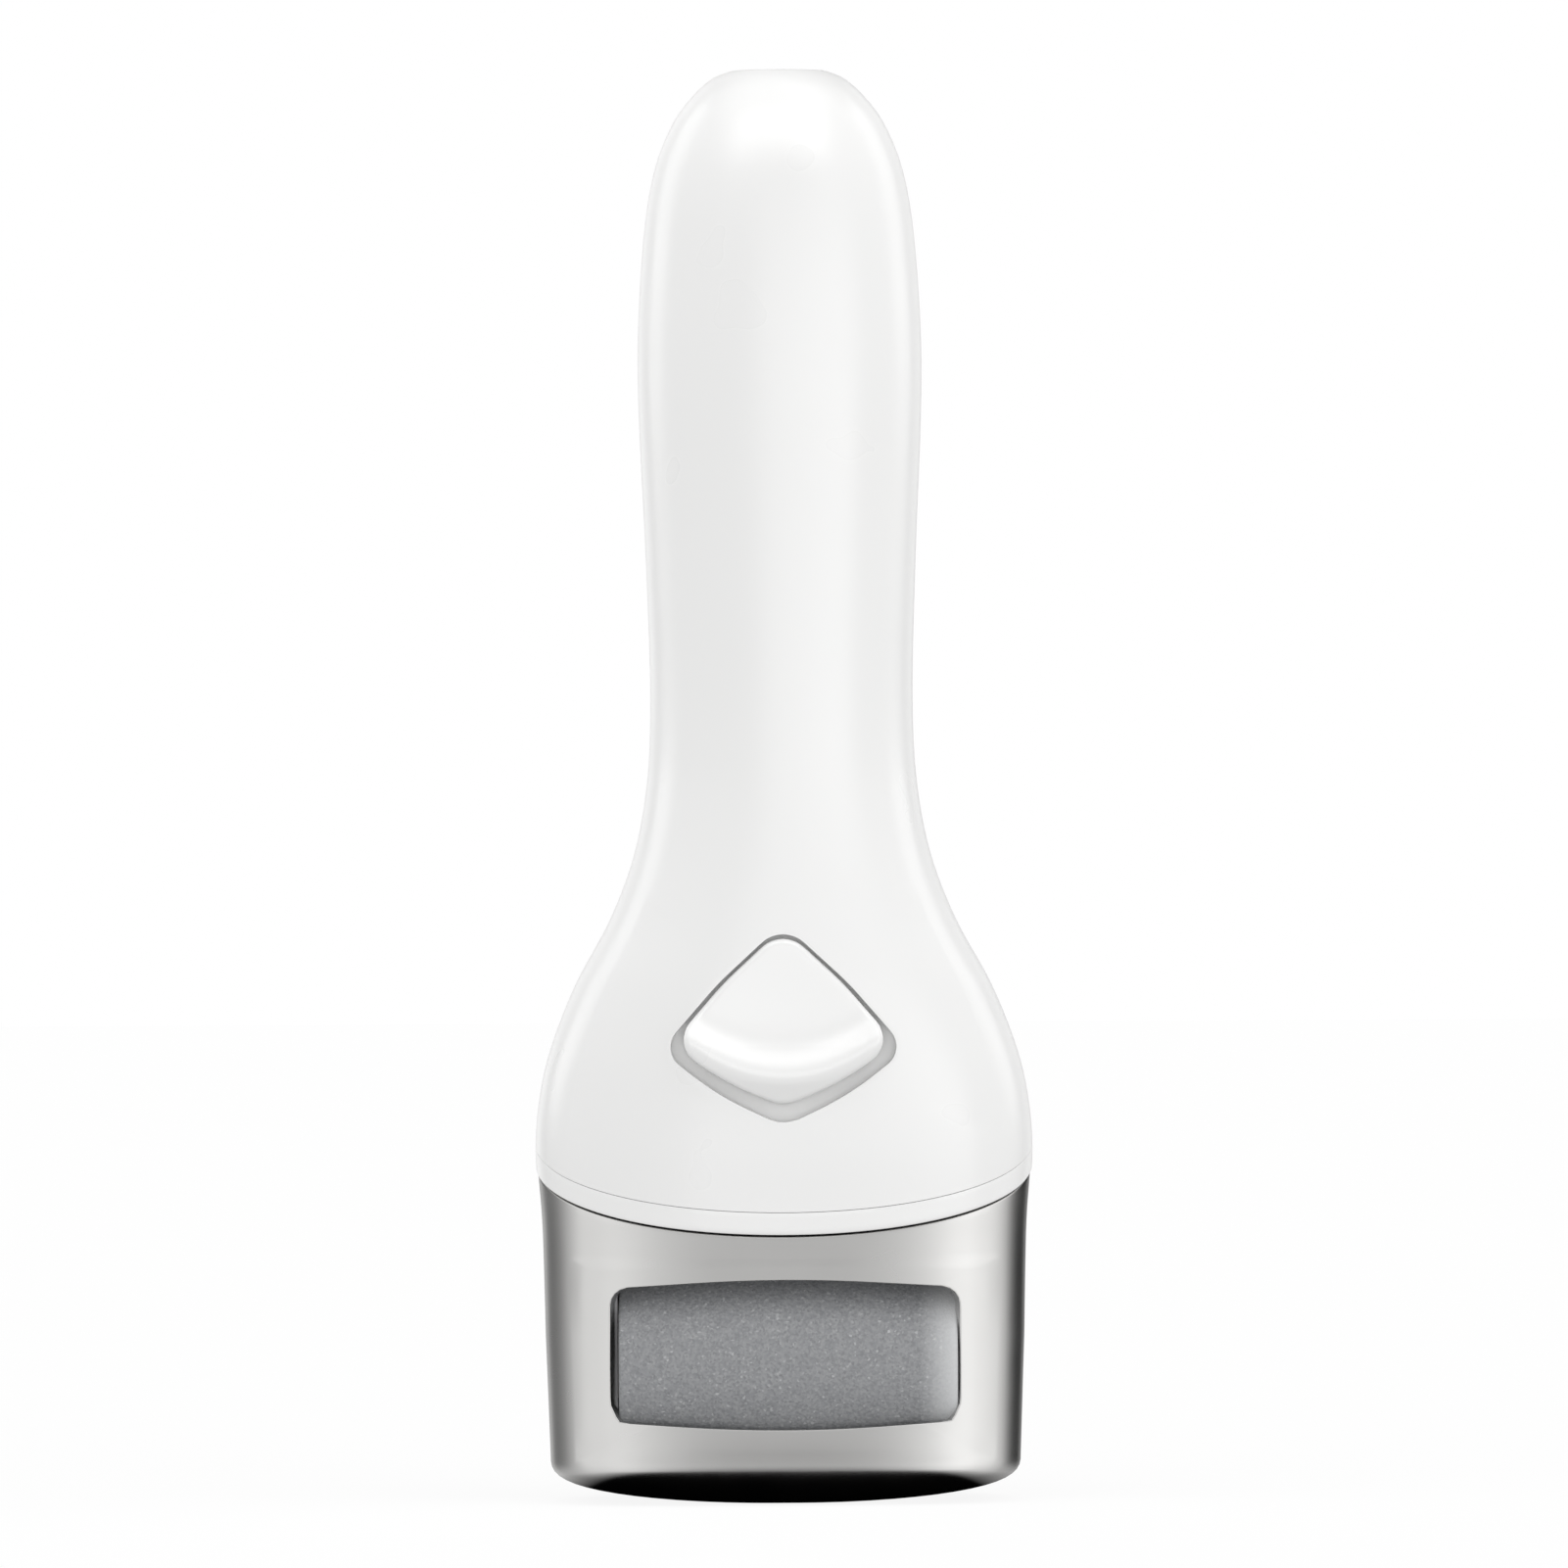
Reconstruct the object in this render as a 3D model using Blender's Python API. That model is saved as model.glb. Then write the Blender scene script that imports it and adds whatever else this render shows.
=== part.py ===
"""Electric callus remover: a white two-shell handle over a satin silver roller head.

Frame: metres, +Z up along the handle, -Y the front with the switch, and the origin under
the middle of the head's flat foot. All helpers take millimetres and scale them by MM.
"""

import math

import bmesh
import bpy
from mathutils import Vector

MM = 0.001

# Envelope -----------------------------------------------------------------------------
LENGTH = 172.0
WALL = 1.8
GAP = 0.3
RING_POINTS = 32
FAR = 40.0  # past the part on every side, for cutters
# Foot: rounded up over FOOT_ROUND from a flat of these half sizes, with its own corner curve
FOOT_HEIGHT = 5.5
FOOT_ROUND = 4.3
FOOT_HALF_WIDTH = 9.0
FOOT_HALF_DEPTH = 7.0
FOOT_RISE = 3.0
FOOT_FLARE = 2.3
# height, half width, depth to the front, depth to the back
STATIONS = (
    (FOOT_HEIGHT, 28.3, 14.8, 15.0),
    (17.0, 28.7, 15.3, 16.0),
    (34.0, 29.35, 16.4, 17.0),
    (42.0, 29.9, 17.0, 17.5),
    (48.0, 29.5, 17.2, 17.6),
    (54.0, 28.2, 17.2, 17.4),
    (62.0, 25.1, 16.8, 16.9),
    (70.0, 20.8, 16.0, 16.2),
    (78.0, 17.8, 15.2, 15.4),
    (87.0, 16.2, 14.5, 14.8),
    (97.0, 15.8, 14.2, 14.5),
    (112.0, 16.2, 14.3, 14.6),
    (136.0, 17.1, 14.8, 15.0),
    (151.0, 16.4, 14.4, 14.6),
    (160.0, 15.0, 13.3, 13.5),
    (166.0, 12.6, 11.4, 11.6),
    (169.5, 9.9, 9.3, 9.4),
    (171.3, 7.7, 7.4, 7.4),
    (LENGTH, 5.9, 5.8, 5.8),
)
HEAD_SQUARENESS = 3.2
HANDLE_SQUARENESS = 2.2
SQUARENESS_SPAN = (34.0, 87.0)
CAVITY_TOP = 168.4

# Seam between head and handle: a smile in front view, the same at the front and the back
SEAM_LOW = 32.3
SEAM_RISE = 8.1
SEAM_HALF_WIDTH = 29.74
COLLAR_HEIGHT = 2.8
SEAL_THICKNESS = 0.6
SEAL_REACH = 1.4

# Roller window
WINDOW_HALF_WIDTH = 20.9
WINDOW_TOP = 27.2
WINDOW_BOTTOM = 8.8
WINDOW_BULGE = 1.2
WINDOW_TOP_RADIUS = 2.4
WINDOW_STEP = (1.0, 2.2)  # how far in, and how high, the lower corners narrow
WINDOW_STEP_RADIUS = 0.9

# Switch: the corners of the recess and of the button, before they are rounded
RECESS_TOP = 69.6
RECESS_SIDE = 54.5
RECESS_BOTTOM = 45.4
RECESS_HALF_WIDTH = 14.65
BUTTON_TOP = 69.1
BUTTON_SIDE = 55.25
BUTTON_BOTTOM = 47.75
BUTTON_HALF_WIDTH = 13.35
TRAY_FRONT = -14.5
TRAY_BACK = -13.0
BUTTON_BACK = -14.9
PAD = 1.8
TRAY_LIP = 1.4
KITE_MIDDLE = 0.53  # share of the half width at which the kite's long sides bow out
KITE_BOW_ABOVE = 0.4
KITE_BOW_BELOW = 0.85
SIDE_RADIUS = 36.0
TOP_RADIUS = 3.7
BOTTOM_RADIUS = 4.6
RECESS_TIP_RADIUS = 2.7
BUTTON_TIP_RADIUS = 3.2
BUTTON_FACE = 17.35
BUTTON_LEAN = 0.065
RIDGE_LOW = 51.6
RIDGE_CURVE = 0.032
RIDGE_HEIGHT = 1.4
RIDGE_SPREAD_ABOVE = 2.6
RIDGE_SPREAD_BELOW = 2.0
RIDGE_DROP = 0.3
STEM_SLOT = (52.0, 61.5)
STEM_SLOT_HALF = 2.2

# Port at the flat end of the handle
PORT_HALF_WIDTH = 4.1
PORT_HALF_DEPTH = 1.7
PORT_ROUND = 1.2

# Drive train, all turning about lines along X: (y, z) of each axis
MODULE = 0.6
ROLLER_TEETH, IDLER_TEETH, SMALL_TEETH, LARGE_TEETH, PINION_TEETH = 13, 20, 12, 22, 10
CENTRE_SLACK = 0.08
BACKLASH = 0.14
PRESSURE_ANGLE = 22.5
ADDENDUM = 0.9
DEDENDUM = 1.25
ROLLER_AXIS = (-4.0, 17.0)
IDLER_Y, REDUCTION_Y, MOTOR_Y = 0.0, 0.0, 4.0
INNER_GEARS = (-21.3, -19.5)
OUTER_GEARS = (-23.5, -21.9)
AXLE_RADIUS = 1.0
AXLE_BORE = 1.3
ROLLER_RADIUS = 12.0
SLEEVE_HALF = 17.1
SLEEVE_CROWN = 1.2
SLEEVE_BORE = 9.9
CORE_RADIUS = 9.6
CAP_RADIUS = 10.1
ROLLER_LEFT, ROLLER_RIGHT = -18.9, 20.2
ARM_LEFT = (-23.4, -21.8)
ARM_RIGHT = (20.7, 22.3)
AXLE_SPAN = (-23.7, 22.9)
BUSH_BORE = 1.55
BUSH_RADIUS = 2.2
MOTOR_RADIUS = 10.0
MOTOR_SPAN = (-16.6, 6.0)

# Screws: (x, z) of the ones that come in from the back
SHELL_SCREWS = ((-17.0, 62.0), (17.0, 62.0), (0.0, 146.0))
CARRIER_SCREWS = ((-14.0, 16.3), (14.0, 16.3))
SHELL_SEAT_DEPTH = 2.6
CARRIER_SEAT_DEPTH = 1.1
SHELL_SEAT_RADIUS = 2.4
CARRIER_SEAT_RADIUS = 2.3
BOSS_RADIUS = 3.0
POST_RADIUS = 2.6
CHASSIS_SCREWS = ((-6.5, 46.5), (8.3, 29.8))

# Battery
CELL_RADIUS = 9.0
CELL_SPAN = (74.0, 139.0)

# Looks: base colour, roughness, metallic
LOOKS = {
    "white_plastic": ((0.86, 0.86, 0.85), 0.32, 0.0),
    "silver": ((0.60, 0.60, 0.60), 0.30, 1.0),
    "abrasive": ((0.26, 0.27, 0.28), 0.85, 0.0),
    "light_plastic": ((0.55, 0.55, 0.55), 0.45, 0.0),
    "dark_plastic": ((0.05, 0.05, 0.055), 0.5, 0.0),
    "natural_plastic": ((0.80, 0.77, 0.68), 0.4, 0.0),
    "steel": ((0.55, 0.55, 0.55), 0.3, 1.0),
    "brass": ((0.72, 0.55, 0.25), 0.3, 1.0),
    "board_green": ((0.05, 0.22, 0.10), 0.5, 0.0),
    "cell_wrap": ((0.10, 0.28, 0.55), 0.35, 0.0),
    "rubber": ((0.03, 0.03, 0.03), 0.8, 0.0),
    "wire_red": ((0.55, 0.03, 0.03), 0.5, 0.0),
    "wire_black": ((0.02, 0.02, 0.02), 0.5, 0.0),
}
# The look of each piece. The rest are plain steel.
LOOK_OF = {
    "front_shell": "white_plastic",
    "back_shell": "white_plastic",
    "head_collar": "white_plastic",
    "switch_tray": "white_plastic",
    "slide_button": "white_plastic",
    "head_housing": "silver",
    "abrasive_sleeve": "abrasive",
    "roller_cap_left": "light_plastic",
    "roller_cap_right": "light_plastic",
    "switch_housing": "dark_plastic",
    "switch_stem": "dark_plastic",
    "roller_core": "dark_plastic",
    "roller_carrier": "dark_plastic",
    "battery_cradle": "dark_plastic",
    "socket_tongue": "dark_plastic",
    "reduction_gear": "natural_plastic",
    "idler_gear": "natural_plastic",
    "roller_gear": "natural_plastic",
    "motor_pinion": "brass",
    "roller_bush_left": "brass",
    "roller_bush_right": "brass",
    "circuit_board": "board_green",
    "charge_board": "board_green",
    "battery_cell": "cell_wrap",
    "collar_seal": "rubber",
    "wire_cell_plus": "wire_red",
    "wire_charge": "wire_red",
    "wire_motor": "wire_red",
    "wire_cell_minus": "wire_black",
}
# The head stands still. The handle, which is every piece not named below, lifts off it.
HEAD = (
    "head_housing",
    "roller_carrier",
    "roller_bush_left",
    "roller_bush_right",
    "carrier_screw_1",
    "carrier_screw_2",
)
# The pieces that turn or slide in the head or in the handle, by joint
MOVING = {
    "roller_spin": (
        "abrasive_sleeve",
        "roller_core",
        "roller_cap_left",
        "roller_cap_right",
        "roller_axle",
        "roller_gear",
    ),
    "idler_spin": ("idler_gear",),
    "reduction_spin": ("reduction_gear",),
    "motor_spin": ("motor_armature", "motor_pinion"),
    "switch_slide": ("slide_button", "switch_stem"),
}


# Shared helpers -----------------------------------------------------------------------
def clear_scene():
    for obj in list(bpy.data.objects):
        bpy.data.objects.remove(obj, do_unlink=True)


def to_object(name, bm):
    """An object with the bmesh's faces turned outward, scaled from millimetres."""
    bmesh.ops.recalc_face_normals(bm, faces=bm.faces)
    bent = [face for face in bm.faces if len(face.verts) == 4]
    bmesh.ops.triangulate(bm, faces=bent)
    bmesh.ops.scale(bm, vec=(MM, MM, MM), verts=bm.verts)
    mesh = bpy.data.meshes.new(name)
    bm.to_mesh(mesh)
    bm.free()
    obj = bpy.data.objects.new(name, mesh)
    bpy.context.collection.objects.link(obj)
    return obj


def discard(obj):
    mesh = obj.data
    bpy.data.objects.remove(obj, do_unlink=True)
    bpy.data.meshes.remove(mesh)


def boolean(obj, cutter, operation="DIFFERENCE"):
    """Cut or join two bodies and keep the result as the object's own mesh."""
    modifier = obj.modifiers.new("boolean", "BOOLEAN")
    modifier.operation = operation
    modifier.solver = "EXACT"
    modifier.object = cutter
    depsgraph = bpy.context.evaluated_depsgraph_get()
    result = bpy.data.meshes.new_from_object(obj.evaluated_get(depsgraph))
    obj.modifiers.clear()
    old = obj.data
    obj.data = result
    bpy.data.meshes.remove(old)
    discard(cutter)
    return obj


def copy_of(obj, name):
    twin = bpy.data.objects.new(name, obj.data.copy())
    bpy.context.collection.objects.link(twin)
    return twin


def skin(bm, rings, closed=False):
    """Quads between rings of equal length, joined back to the first ring when closed."""
    pairs = list(zip(rings, rings[1:]))
    if closed:
        pairs.append((rings[-1], rings[0]))
    for low, high in pairs:
        for i in range(len(low)):
            j = (i + 1) % len(low)
            bm.faces.new((low[i], low[j], high[j], high[i]))


def prism(name, outline, axis, low, high):
    """An outline extruded along an axis: (y, z) along X, (x, z) along Y, (x, y) along Z."""
    place = {
        "X": lambda u, v, a: (a, u, v),
        "Y": lambda u, v, a: (u, a, v),
        "Z": lambda u, v, a: (u, v, a),
    }[axis]
    bm = bmesh.new()
    ends = [[bm.verts.new(place(u, v, a)) for u, v in outline] for a in (low, high)]
    skin(bm, ends)
    for end in ends:
        bm.faces.new(end)
    return to_object(name, bm)


def box(name, x, y, z):
    """A block between pairs of limits along each axis."""
    outline = ((x[0], z[0]), (x[1], z[0]), (x[1], z[1]), (x[0], z[1]))
    return prism(name, outline, "Y", y[0], y[1])


def turned(name, profile, axis, centre, segments=24):
    """A profile of (along, radius) turned about an axis: closed when it has no zero radius."""
    u0, v0 = centre
    bm = bmesh.new()
    hollow = min(radius for along, radius in profile) > 0
    steps = [2 * math.pi * i / segments for i in range(segments)]
    rings = []
    for along, radius in profile:
        angles = steps if radius > 0 else (0.0,)
        ring = []
        for angle in angles:
            u = u0 + radius * math.cos(angle)
            v = v0 + radius * math.sin(angle)
            spot = {"X": (along, u, v), "Y": (u, along, v), "Z": (u, v, along)}[axis]
            ring.append(bm.verts.new(spot))
        rings.append(ring)
    if hollow:
        skin(bm, rings, closed=True)
    else:
        skin(bm, rings[1:-1])
        for tip, ring in ((rings[0][0], rings[1]), (rings[-1][0], rings[-2])):
            for i in range(segments):
                bm.faces.new((tip, ring[i], ring[(i + 1) % segments]))
    return to_object(name, bm)


def rod(name, axis, centre, radius, low, high, segments=20):
    profile = ((low, 0), (low, radius), (high, radius), (high, 0))
    return turned(name, profile, axis, centre, segments)


def tube(name, axis, centre, inner, outer, low, high, segments=24):
    profile = ((low, inner), (low, outer), (high, outer), (high, inner))
    return turned(name, profile, axis, centre, segments)


def screw(name, axis, centre, under_head, head_end, tip, head=2.0, shank=1.0):
    """A pan head screw: the head from under_head to head_end, the shank back to its tip."""
    profile = (
        (tip, 0),
        (tip, shank),
        (under_head, shank),
        (under_head, head),
        (head_end, head),
        (head_end, 0),
    )
    return turned(name, profile, axis, centre, 16)


def filleted(corners, steps=5):
    """A closed outline through corners (u, v, radius), each rounded by an arc."""
    outline = []
    for i, (u, v, radius) in enumerate(corners):
        here = Vector((u, v))
        before = (Vector(corners[i - 1][:2]) - here).normalized()
        after = (Vector(corners[(i + 1) % len(corners)][:2]) - here).normalized()
        half = before.angle(after) / 2
        middle = here + (before + after).normalized() * (radius / math.sin(half))
        start = here + before * (radius / math.tan(half)) - middle
        turn = math.pi - 2 * half
        sign = 1 if before.cross(after) < 0 else -1
        for k in range(steps + 1):
            angle = sign * turn * k / steps
            cosine, sine = math.cos(angle), math.sin(angle)
            outline.append(
                (
                    middle.x + start.x * cosine - start.y * sine,
                    middle.y + start.x * sine + start.y * cosine,
                )
            )
    return outline


def through(values, at):
    """Smooth interpolation of rows (position, value, value, ...) at a position."""
    rows = [values[0], *values, values[-1]]
    for i in range(1, len(rows) - 2):
        if at <= rows[i + 1][0]:
            break
    before, low, high, after = rows[i - 1 : i + 3]
    share = (at - low[0]) / (high[0] - low[0])
    result = []
    for k in range(1, len(low)):
        rise_low = (high[k] - before[k]) / (high[0] - before[0]) * (high[0] - low[0])
        rise_high = (after[k] - low[k]) / (after[0] - low[0]) * (high[0] - low[0])
        s2, s3 = share**2, share**3
        result.append(
            (2 * s3 - 3 * s2 + 1) * low[k]
            + (s3 - 2 * s2 + share) * rise_low
            + (3 * s2 - 2 * s3) * high[k]
            + (s3 - s2) * rise_high
        )
    return result


# Envelope -----------------------------------------------------------------------------
def section(z):
    """Half width, front depth, back depth and squareness of the outer form at a height."""
    low, high = SQUARENESS_SPAN
    blend = min(max((z - low) / (high - low), 0.0), 1.0)
    squareness = HEAD_SQUARENESS + (HANDLE_SQUARENESS - HEAD_SQUARENESS) * blend
    if z >= FOOT_HEIGHT:
        return (*through(STATIONS, z), squareness)
    _, width, front, back = STATIONS[0]
    across = (1 - (1 - z / FOOT_HEIGHT) ** FOOT_RISE) ** (1 / FOOT_FLARE)
    turned_in = math.sqrt(1 - (1 - min(z / FOOT_ROUND, 1.0)) ** 2)
    return (
        FOOT_HALF_WIDTH + (width - FOOT_HALF_WIDTH) * across,
        FOOT_HALF_DEPTH + (front - FOOT_HALF_DEPTH) * turned_in,
        FOOT_HALF_DEPTH + (back - FOOT_HALF_DEPTH) * turned_in,
        squareness,
    )


def outer_loft(name, heights, inset=0.0, lift=0.0):
    """A closed body of cross-sections, inset from the outer form and lifted along Z."""
    bm = bmesh.new()
    rings = []
    for z in heights:
        width, front, back, squareness = section(z - lift)
        ring = []
        for i in range(RING_POINTS):
            angle = 2 * math.pi * i / RING_POINTS
            c, s = math.cos(angle), math.sin(angle)
            reach = (abs(c) ** squareness + abs(s) ** squareness) ** (-1 / squareness)
            depth = (back if s > 0 else front) - inset
            ring.append(bm.verts.new(((width - inset) * c * reach, depth * s * reach, z)))
        rings.append(ring)
    skin(bm, rings)
    bm.faces.new(rings[0])
    bm.faces.new(rings[-1])
    return to_object(name, bm)


def steps_between(low, high, count):
    return [low + (high - low) * i / count for i in range(count + 1)]


def seam_side(name, offset, limit):
    """Everything between the seam's curve, moved up by offset, and a flat limit height."""
    curve = []
    for i in range(19):
        angle = math.radians(-90 + 10 * i)
        x = SEAM_HALF_WIDTH * math.sin(angle)
        curve.append((x, SEAM_LOW + SEAM_RISE * (1 - math.cos(angle)) + offset))
    edge = SEAM_LOW + SEAM_RISE + offset
    outline = [(-FAR, limit), (-FAR, edge), *curve, (FAR, edge), (FAR, limit)]
    return prism(name, outline, "Y", -FAR, FAR)


def kite(top, side, bottom, half_width, tip_radius, grow=0.0):
    """The switch outline: a kite with rounded corners and slightly bowed sides."""
    wide = half_width + grow
    above, below = KITE_BOW_ABOVE + grow / 2, KITE_BOW_BELOW + grow / 2
    right = [
        (wide * KITE_MIDDLE, (top + side) / 2 + above, SIDE_RADIUS),
        (wide, side, tip_radius),
        (wide * KITE_MIDDLE, (bottom + side) / 2 - below, SIDE_RADIUS),
    ]
    left = [(-x, z, radius) for x, z, radius in reversed(right)]
    top_corner = (0.0, top + grow, TOP_RADIUS)
    bottom_corner = (0.0, bottom - grow, BOTTOM_RADIUS)
    return filleted([top_corner, *right, bottom_corner, *left], steps=4)


def recess_outline(grow=0.0):
    size = (RECESS_TOP, RECESS_SIDE, RECESS_BOTTOM, RECESS_HALF_WIDTH)
    return kite(*size, RECESS_TIP_RADIUS, grow)


def port_outline(inset=0.0):
    """The charging port's outline, seen along Z."""
    u, v, radius = PORT_HALF_WIDTH - inset, PORT_HALF_DEPTH - inset, PORT_ROUND - inset
    return filleted([(u, v, radius), (u, -v, radius), (-u, -v, radius), (-u, v, radius)], steps=3)


# Handle casing ------------------------------------------------------------------------
def cavity(name, low, high, count):
    return outer_loft(name, steps_between(low, high, count), inset=WALL)


def back_surface(x, z):
    """How far back the outer form reaches at a point of the back."""
    width, _, back, squareness = section(z)
    return back * (1 - (abs(x) / width) ** squareness) ** (1 / squareness)


def make_shells():
    """Front and back half shells with screw bosses, the switch recess and the port slot."""
    heights = steps_between(32.0, 152.0, 15) + [158.0, 163.0, 167.0, 169.5, 171.3, LENGTH]
    whole = outer_loft("whole_shell", heights)
    hollow = cavity("hollow", 25.0, CAVITY_TOP, 11)
    for x, z in SHELL_SCREWS:
        boolean(hollow, rod("boss", "Y", (x, z), BOSS_RADIUS, -FAR, FAR))
    pad = prism("pad", recess_outline(PAD), "Y", -FAR, TRAY_FRONT - GAP)
    boolean(hollow, pad)
    boolean(whole, hollow)
    boolean(whole, seam_side("below", COLLAR_HEIGHT + GAP / 2, 0.0))
    boolean(whole, prism("slot", port_outline(), "Z", CAVITY_TOP - 5.0, LENGTH + FAR))
    back = copy_of(whole, "back_shell")
    front = whole
    front.name = "front_shell"
    boolean(front, box("rear_half", (-FAR, FAR), (-GAP / 2, FAR), (0, LENGTH + FAR)))
    boolean(back, box("front_half", (-FAR, FAR), (-FAR, GAP / 2), (0, LENGTH + FAR)))
    boolean(front, prism("recess", recess_outline(), "Y", -FAR, TRAY_FRONT + 1.0))
    tray_room = recess_outline(TRAY_LIP + GAP)
    boolean(front, prism("tray_room", tray_room, "Y", TRAY_FRONT - GAP, TRAY_BACK))
    for x, z in SHELL_SCREWS:
        boolean(front, rod("pilot", "Y", (x, z), AXLE_BORE, -8.0, 5.0, 16))
        boolean(back, rod("clearance", "Y", (x, z), AXLE_BORE, -5.0, FAR, 16))
        seat = back_surface(x, z) - SHELL_SEAT_DEPTH
        boolean(back, rod("counterbore", "Y", (x, z), SHELL_SEAT_RADIUS, seat, FAR, 16))


def make_shell_screws():
    for i, (x, z) in enumerate(SHELL_SCREWS):
        seat = back_surface(x, z) - SHELL_SEAT_DEPTH + GAP
        screw(f"shell_screw_{i + 1}", "Y", (x, z), seat, seat + 1.4, -7.5)


def make_collar():
    """The white band that meets the silver head along the seam."""
    collar = outer_loft("head_collar", steps_between(28.0, 48.0, 4))
    boolean(collar, outer_loft("hollow", steps_between(27.0, 49.0, 2), inset=WALL))
    boolean(collar, seam_side("below", GAP / 2, 0.0))
    boolean(collar, seam_side("above", COLLAR_HEIGHT - GAP / 2, 60.0))
    return collar


def make_seal():
    """A thin gasket behind the seam, inside both the collar and the head housing."""
    seal = outer_loft("collar_seal", (28.0, 47.0), inset=WALL + GAP)
    boolean(seal, outer_loft("hollow", (27.0, 48.0), inset=WALL + GAP + SEAL_THICKNESS))
    boolean(seal, seam_side("below", -SEAL_REACH, 0.0))
    boolean(seal, seam_side("above", SEAL_REACH, 60.0))
    return seal


# Switch -------------------------------------------------------------------------------
def make_tray():
    """The plate that closes the recess, with a slot for the switch's stem."""
    tray = prism("switch_tray", recess_outline(TRAY_LIP), "Y", TRAY_FRONT, TRAY_BACK)
    return boolean(tray, box("slot", (-STEM_SLOT_HALF, STEM_SLOT_HALF), (-FAR, 0), STEM_SLOT))


def make_switch_housing():
    body = box("switch_housing", (-5.0, 5.0), (TRAY_BACK + GAP, -7.6), (50.0, 64.0))
    return boolean(body, box("pocket", (-STEM_SLOT_HALF, STEM_SLOT_HALF), (-FAR, -8.4), STEM_SLOT))


def button_front(x, z):
    """How far forward the button's face stands: a thumb rest ending in a curved ridge."""
    face = BUTTON_FACE - BUTTON_LEAN * max(z - BUTTON_SIDE, 0.0)
    ridge_line = RIDGE_LOW + RIDGE_CURVE * x**2
    spread = RIDGE_SPREAD_ABOVE if z > ridge_line else RIDGE_SPREAD_BELOW
    ridge = RIDGE_HEIGHT * math.exp(-(((z - ridge_line) / spread) ** 2))
    drop = RIDGE_DROP * max(ridge_line - 1.0 - z, 0.0)
    return face + ridge - drop


def make_button():
    """The thumb button: rings inside its outline, lifted to its face and rounded at the rim."""
    size = (BUTTON_TOP, BUTTON_SIDE, BUTTON_BOTTOM, BUTTON_HALF_WIDTH)
    outline = kite(*size, BUTTON_TIP_RADIUS)
    middle_z = 57.0
    rim_start, rim_round = 0.9, 1.1
    bm = bmesh.new()
    rings = [[bm.verts.new((x, BUTTON_BACK, z)) for x, z in outline]]
    for share in (1.0, 0.985, 0.94, 0.84, 0.68, 0.45, 0.15):
        rim = max(share - rim_start, 0.0) / (1 - rim_start)
        round_off = rim_round * (1 - math.sqrt(max(1 - rim**2, 0.0)))
        ring = []
        for x, z in outline:
            px, pz = x * share, middle_z + (z - middle_z) * share
            ring.append(bm.verts.new((px, -button_front(px, pz) + round_off, pz)))
        rings.append(ring)
    skin(bm, rings)
    bm.faces.new(rings[0])
    bm.faces.new(rings[-1])
    return to_object("slide_button", bm)


# Drive train --------------------------------------------------------------------------
def pitch_radius(teeth):
    return MODULE * teeth / 2


def next_axis(axis, y, teeth_a, teeth_b):
    """The axis above another at a given y, at the two gears' centre distance."""
    distance = pitch_radius(teeth_a) + pitch_radius(teeth_b) + CENTRE_SLACK
    return (y, axis[1] + math.sqrt(distance**2 - (y - axis[0]) ** 2))


IDLER_AXIS = next_axis(ROLLER_AXIS, IDLER_Y, ROLLER_TEETH, IDLER_TEETH)
REDUCTION_AXIS = next_axis(IDLER_AXIS, REDUCTION_Y, IDLER_TEETH, SMALL_TEETH)
MOTOR_AXIS = next_axis(REDUCTION_AXIS, MOTOR_Y, LARGE_TEETH, PINION_TEETH)


def around(centre, radius, angle):
    return (centre[0] + radius * math.cos(angle), centre[1] + radius * math.sin(angle))


def heading(start, end):
    return math.atan2(end[1] - start[1], end[0] - start[0])


def meshing_phase(phase, teeth, mate_teeth, direction):
    """The mate's tooth angle when it meshes with a gear that has a tooth at phase."""
    pitch = 2 * math.pi / teeth
    offset = (phase - direction + pitch / 2) % pitch - pitch / 2
    gap = direction + math.pi - offset * teeth / mate_teeth
    return gap + math.pi / mate_teeth


def gear_outline(teeth, phase, centre):
    """Involute teeth with backlash, one of them centred on the phase angle."""
    radius = pitch_radius(teeth)
    base = radius * math.cos(math.radians(PRESSURE_ANGLE))
    root = radius - DEDENDUM * MODULE
    tip = radius + ADDENDUM * MODULE

    def spread(r):
        if r <= base:
            return 0.0
        angle = math.acos(base / r)
        return math.tan(angle) - angle

    half = math.pi / (2 * teeth) - BACKLASH / (2 * radius)
    flank = [root, radius, tip]
    shape = [(-(half + spread(radius) - spread(r)), r) for r in flank]
    shape += [(-angle, r) for angle, r in reversed(shape)]
    outline = []
    for tooth in range(teeth):
        middle = phase + 2 * math.pi * tooth / teeth
        outline += [around(centre, r, middle + angle) for angle, r in shape]
    return outline


def gear(name, teeth, phase, axis, layer, bore=AXLE_BORE):
    body = prism(name, gear_outline(teeth, phase, axis), "X", *layer)
    if bore:
        boolean(body, rod("bore", "X", axis, bore, -FAR, 0, 12))
    return body


def gear_phases():
    roller = heading(ROLLER_AXIS, IDLER_AXIS)
    idler = meshing_phase(roller, ROLLER_TEETH, IDLER_TEETH, roller)
    up = heading(IDLER_AXIS, REDUCTION_AXIS)
    small = meshing_phase(idler, IDLER_TEETH, SMALL_TEETH, up)
    out = heading(REDUCTION_AXIS, MOTOR_AXIS)
    pinion = meshing_phase(small, LARGE_TEETH, PINION_TEETH, out)
    return roller, idler, small, pinion


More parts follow.
